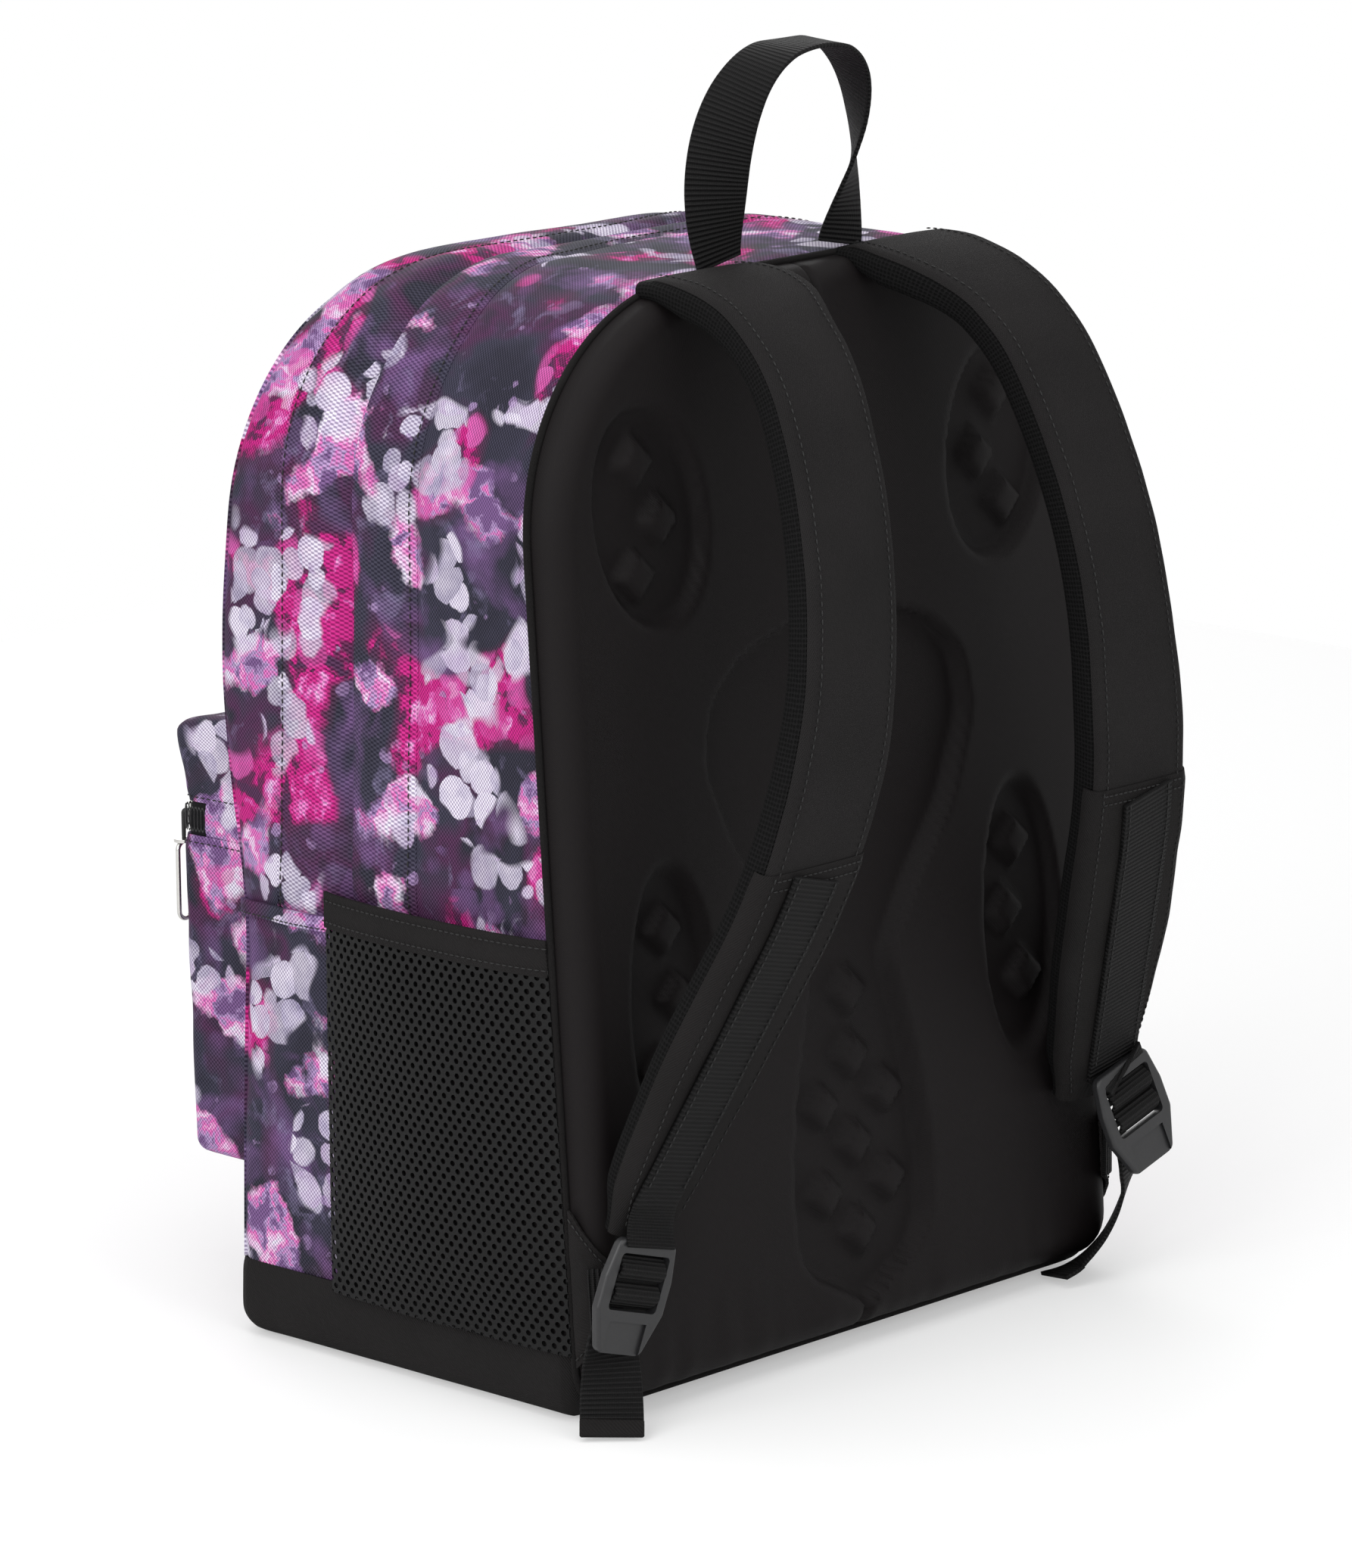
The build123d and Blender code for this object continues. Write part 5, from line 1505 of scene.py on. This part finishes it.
def knitMesh(name, across, tall, place):
    # open knit: six-sided cells with a round hole in each, laid on a bowed face
    corners, faces, known = [], [], {}

    def knot(x, z):
        key = (round(x * 1e5), round(z * 1e5))
        if key not in known:
            known[key] = len(corners)
            corners.append(place(min(max(x / across, 0), 1), min(max(z, 0), tall)))
        return known[key]

    # the corners and side middles of one cell, in shares of its width and rise
    rim = [(0, 2 / 3), (0.25, 0.5), (0.5, 1 / 3), (0.5, 0), (0.5, -1 / 3), (0.25, -0.5),
           (0, -2 / 3), (-0.25, -0.5), (-0.5, -1 / 3), (-0.5, 0), (-0.5, 1 / 3), (-0.25, 0.5)]
    columns, rows = round(across / knit["wide"]), round(tall / knit["rise"])
    wide, rise = across / columns, tall / rows
    for row in range(rows + 1):
        for column in range(columns + 1):
            x, z = (column + 0.5 * (row % 2)) * wide, row * rise
            if x > across + 1e-6:
                continue
            outer = [knot(x + a * wide, z + b * rise) for a, b in rim]
            inner = []
            for index in range(12):
                angle = math.pi / 2 - index * math.pi / 6
                inner.append(knot(x + knit["holeWide"] * math.cos(angle), z + knit["holeTall"] * math.sin(angle)))
            for index in range(12):
                after = (index + 1) % 12
                ring = [outer[index], outer[after], inner[after], inner[index]]
                if len(set(ring)) == 4:
                    faces.append(ring)
                elif len(set(ring)) == 3:
                    faces.append(list(dict.fromkeys(ring)))
    mesh = bpy.data.meshes.new(name)
    mesh.from_pydata(corners, [], faces)
    mesh.validate()
    return addPiece(name, mesh)


pocketTall = sidePocket["top"] - sidePocket["floor"]
meshPocket = knitMesh("meshPocket", sidePocket["wide"], pocketTall + 0.002,
                      lambda share, up: pocketBow(1, share, sidePocket["floor"] + up))
finishSheet(meshPocket, (0.10, 0.02, 0.1), knit["thick"], "bag", meshThread, "pocket_mesh", "mesh_pocket",
            offset=0.0, angle=50)


def layBacking(u, v):
    return pocketBow(1, u, mix(sidePocket["floor"] + 0.001, sidePocket["top"] + 0.008, v), -0.0016)


def layClothPocket(u, v):
    return pocketBow(-1, u, mix(sidePocket["floor"], sidePocket["top"] + 0.001, v))


# dark cloth behind the open knit
meshBacking = layGrid("meshPocketLining", 34, 40, layBacking, (sidePocket["wide"], pocketTall))
finishSheet(meshBacking, (0.10, 0.02, 0.1), sidePocket["liningThick"], "bag", backCloth, "lining")
clothPocket = layGrid("clothPocket", 34, 40, layClothPocket, (sidePocket["wide"], pocketTall))
finishSheet(clothPocket, (-0.10, 0.02, 0.1), sidePocket["clothThick"], "bag", printedCloth, "printed_cloth",
            "cloth_pocket", rounder=True)

for side, name, node in ((1, "Mesh", "mesh_pocket_binding"), (-1, "Cloth", "cloth_pocket_binding")):
    def layBinding(u, v):
        # doubled cloth tape, a little gathered, over the pocket's rim
        z = mix(sidePocket["top"] - 0.0008, sidePocket["rim"], v)
        return pocketBow(side, u, z, 0.0008 + 0.0003 * noise.noise(Vector((u * 30, v * 2, side))))

    binding = layGrid(f"pocketBinding{name}", 48, 8, layBinding, (sidePocket["wide"], 0.014))
    faceAway(binding, (side * 0.10, 0.02, 0.18))
    thicken(binding, sidePocket["bindingThick"])
    roundEdges(binding, 0.0006, 2, 60)
    finishPiece(binding, "bag", webbingCloth if side < 0 else blackTwill, "black_cloth", node, angle=40)
    for offset in (0.0022, 0.0108):
        line = [(pocketBow(side, share, sidePocket["top"] + offset, 0.0012), Vector((side, 0, 0)))
                for share in shares(42)]
        sewAlong(f"bindingStitches{name}{round(offset * 10000)}", line, "bag", 0.0030)

# the welt that covers the zips' ends, round to the side pockets
welt = {"front": -0.0895, "back": -0.034, "proud": 0.0009, "wide": 0.0062, "thick": 0.0020}
for side, name, run in ((1, "Right", zipRun), (-1, "Left", fullRun - zipRun)):
    ys = [mix(welt["front"], welt["back"], share) for share in shares(24)]
    places = [(shellSpot(run, y, welt["proud"]), shellOut(run, y)) for y in ys]
    layRibbon(f"hemWelt{name}", evenly(places, 0.002), welt["wide"], welt["thick"], "bag", printedCloth,
              "printed_cloth")
    line = [(place + Vector((side * 0.0010, 0, -0.0020)), out) for place, out in places]
    sewAlong(f"hemStitches{name}", line, "bag", closeStitch)
print("side pockets made")


inside = {"floor": 0.0055, "divider": -0.0335, "half": 0.1450, "tall": 0.4300, "crown": 0.087,
          "dividerThick": 0.0013, "foam": 0.006, "deep": 0.0236, "sleeveHalf": 0.1298, "sleeveTall": 0.270,
          "sleeveThick": 0.0028}
inside["sleeveFoot"] = inside["floor"] + (inside["foam"] + inside["deep"]) * math.sin(backPad["lean"])


def layDivider(x, z, edge):
    wave = 0.0009 * noise.noise(Vector((x * 16, z * 12, 6.6))) * smooth(0.0, 0.02, edge)
    return Vector((x, inside["divider"] + wave, z))


dividerSheet = archSheet("compartmentDivider", inside["floor"], 0, inside["half"], inside["tall"], inside["crown"],
                         40, layDivider)
thicken(dividerSheet, inside["dividerThick"], 0.0)
finishPiece(dividerSheet, "bag", liningCloth, "lining", "compartment_divider", angle=60)


def sleevePlace(point):
    # a flat open-topped pocket against the back, its front quilted a little full and soft at the edges
    low = Vector((-inside["sleeveHalf"], -inside["foam"] - inside["deep"], 0))
    high = Vector((inside["sleeveHalf"], -inside["foam"] + 0.02, inside["sleeveTall"] + 0.05))
    spot = roundBox(point, low, high, 0.006)
    full = 0.0008 * noise.noise(Vector((spot.x * 18, spot.z * 14, 2.2)))
    return backSpot(spot.x, spot.z + inside["sleeveFoot"], spot.y + full)


sleeve = boxSkin("laptopSleeve", spaced(-inside["sleeveHalf"], inside["sleeveHalf"], 0.010, crowd=True),
                 spaced(-inside["foam"] - inside["deep"], -inside["foam"], 0.006),
                 spaced(0, inside["sleeveTall"], 0.010), ("front", "right", "left", "bottom"), sleevePlace)
finishSheet(sleeve, (0, 0.075, 0.14), inside["sleeveThick"], "bag", liningCloth, "lining", "laptop_sleeve",
            rounder=True)
print("lining parts made")


# hard parts keep their CAD shape and take a finish
keptFinish = {
    "ladder_lock_left": blackPlastic, "ladder_lock_right": blackPlastic, "base_board": boardPlastic,
    "front_zip_slider": blackMetal, "main_zip_slider": blackMetal, "pocket_zip_slider": polishedNickel,
    "front_zip_pull": polishedNickel, "main_zip_pull": polishedNickel, "pocket_zip_pull": polishedNickel,
    "front_zip_pull_cord": cordBraid, "main_zip_pull_cord": cordBraid, "pocket_zip_pull_cord": cordBraid,
}
for node, material in keptFinish.items():
    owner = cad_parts[node]
    owner.data.materials.clear()
    owner.data.materials.append(material)

bpy.data.objects.remove(stitch, do_unlink=True)
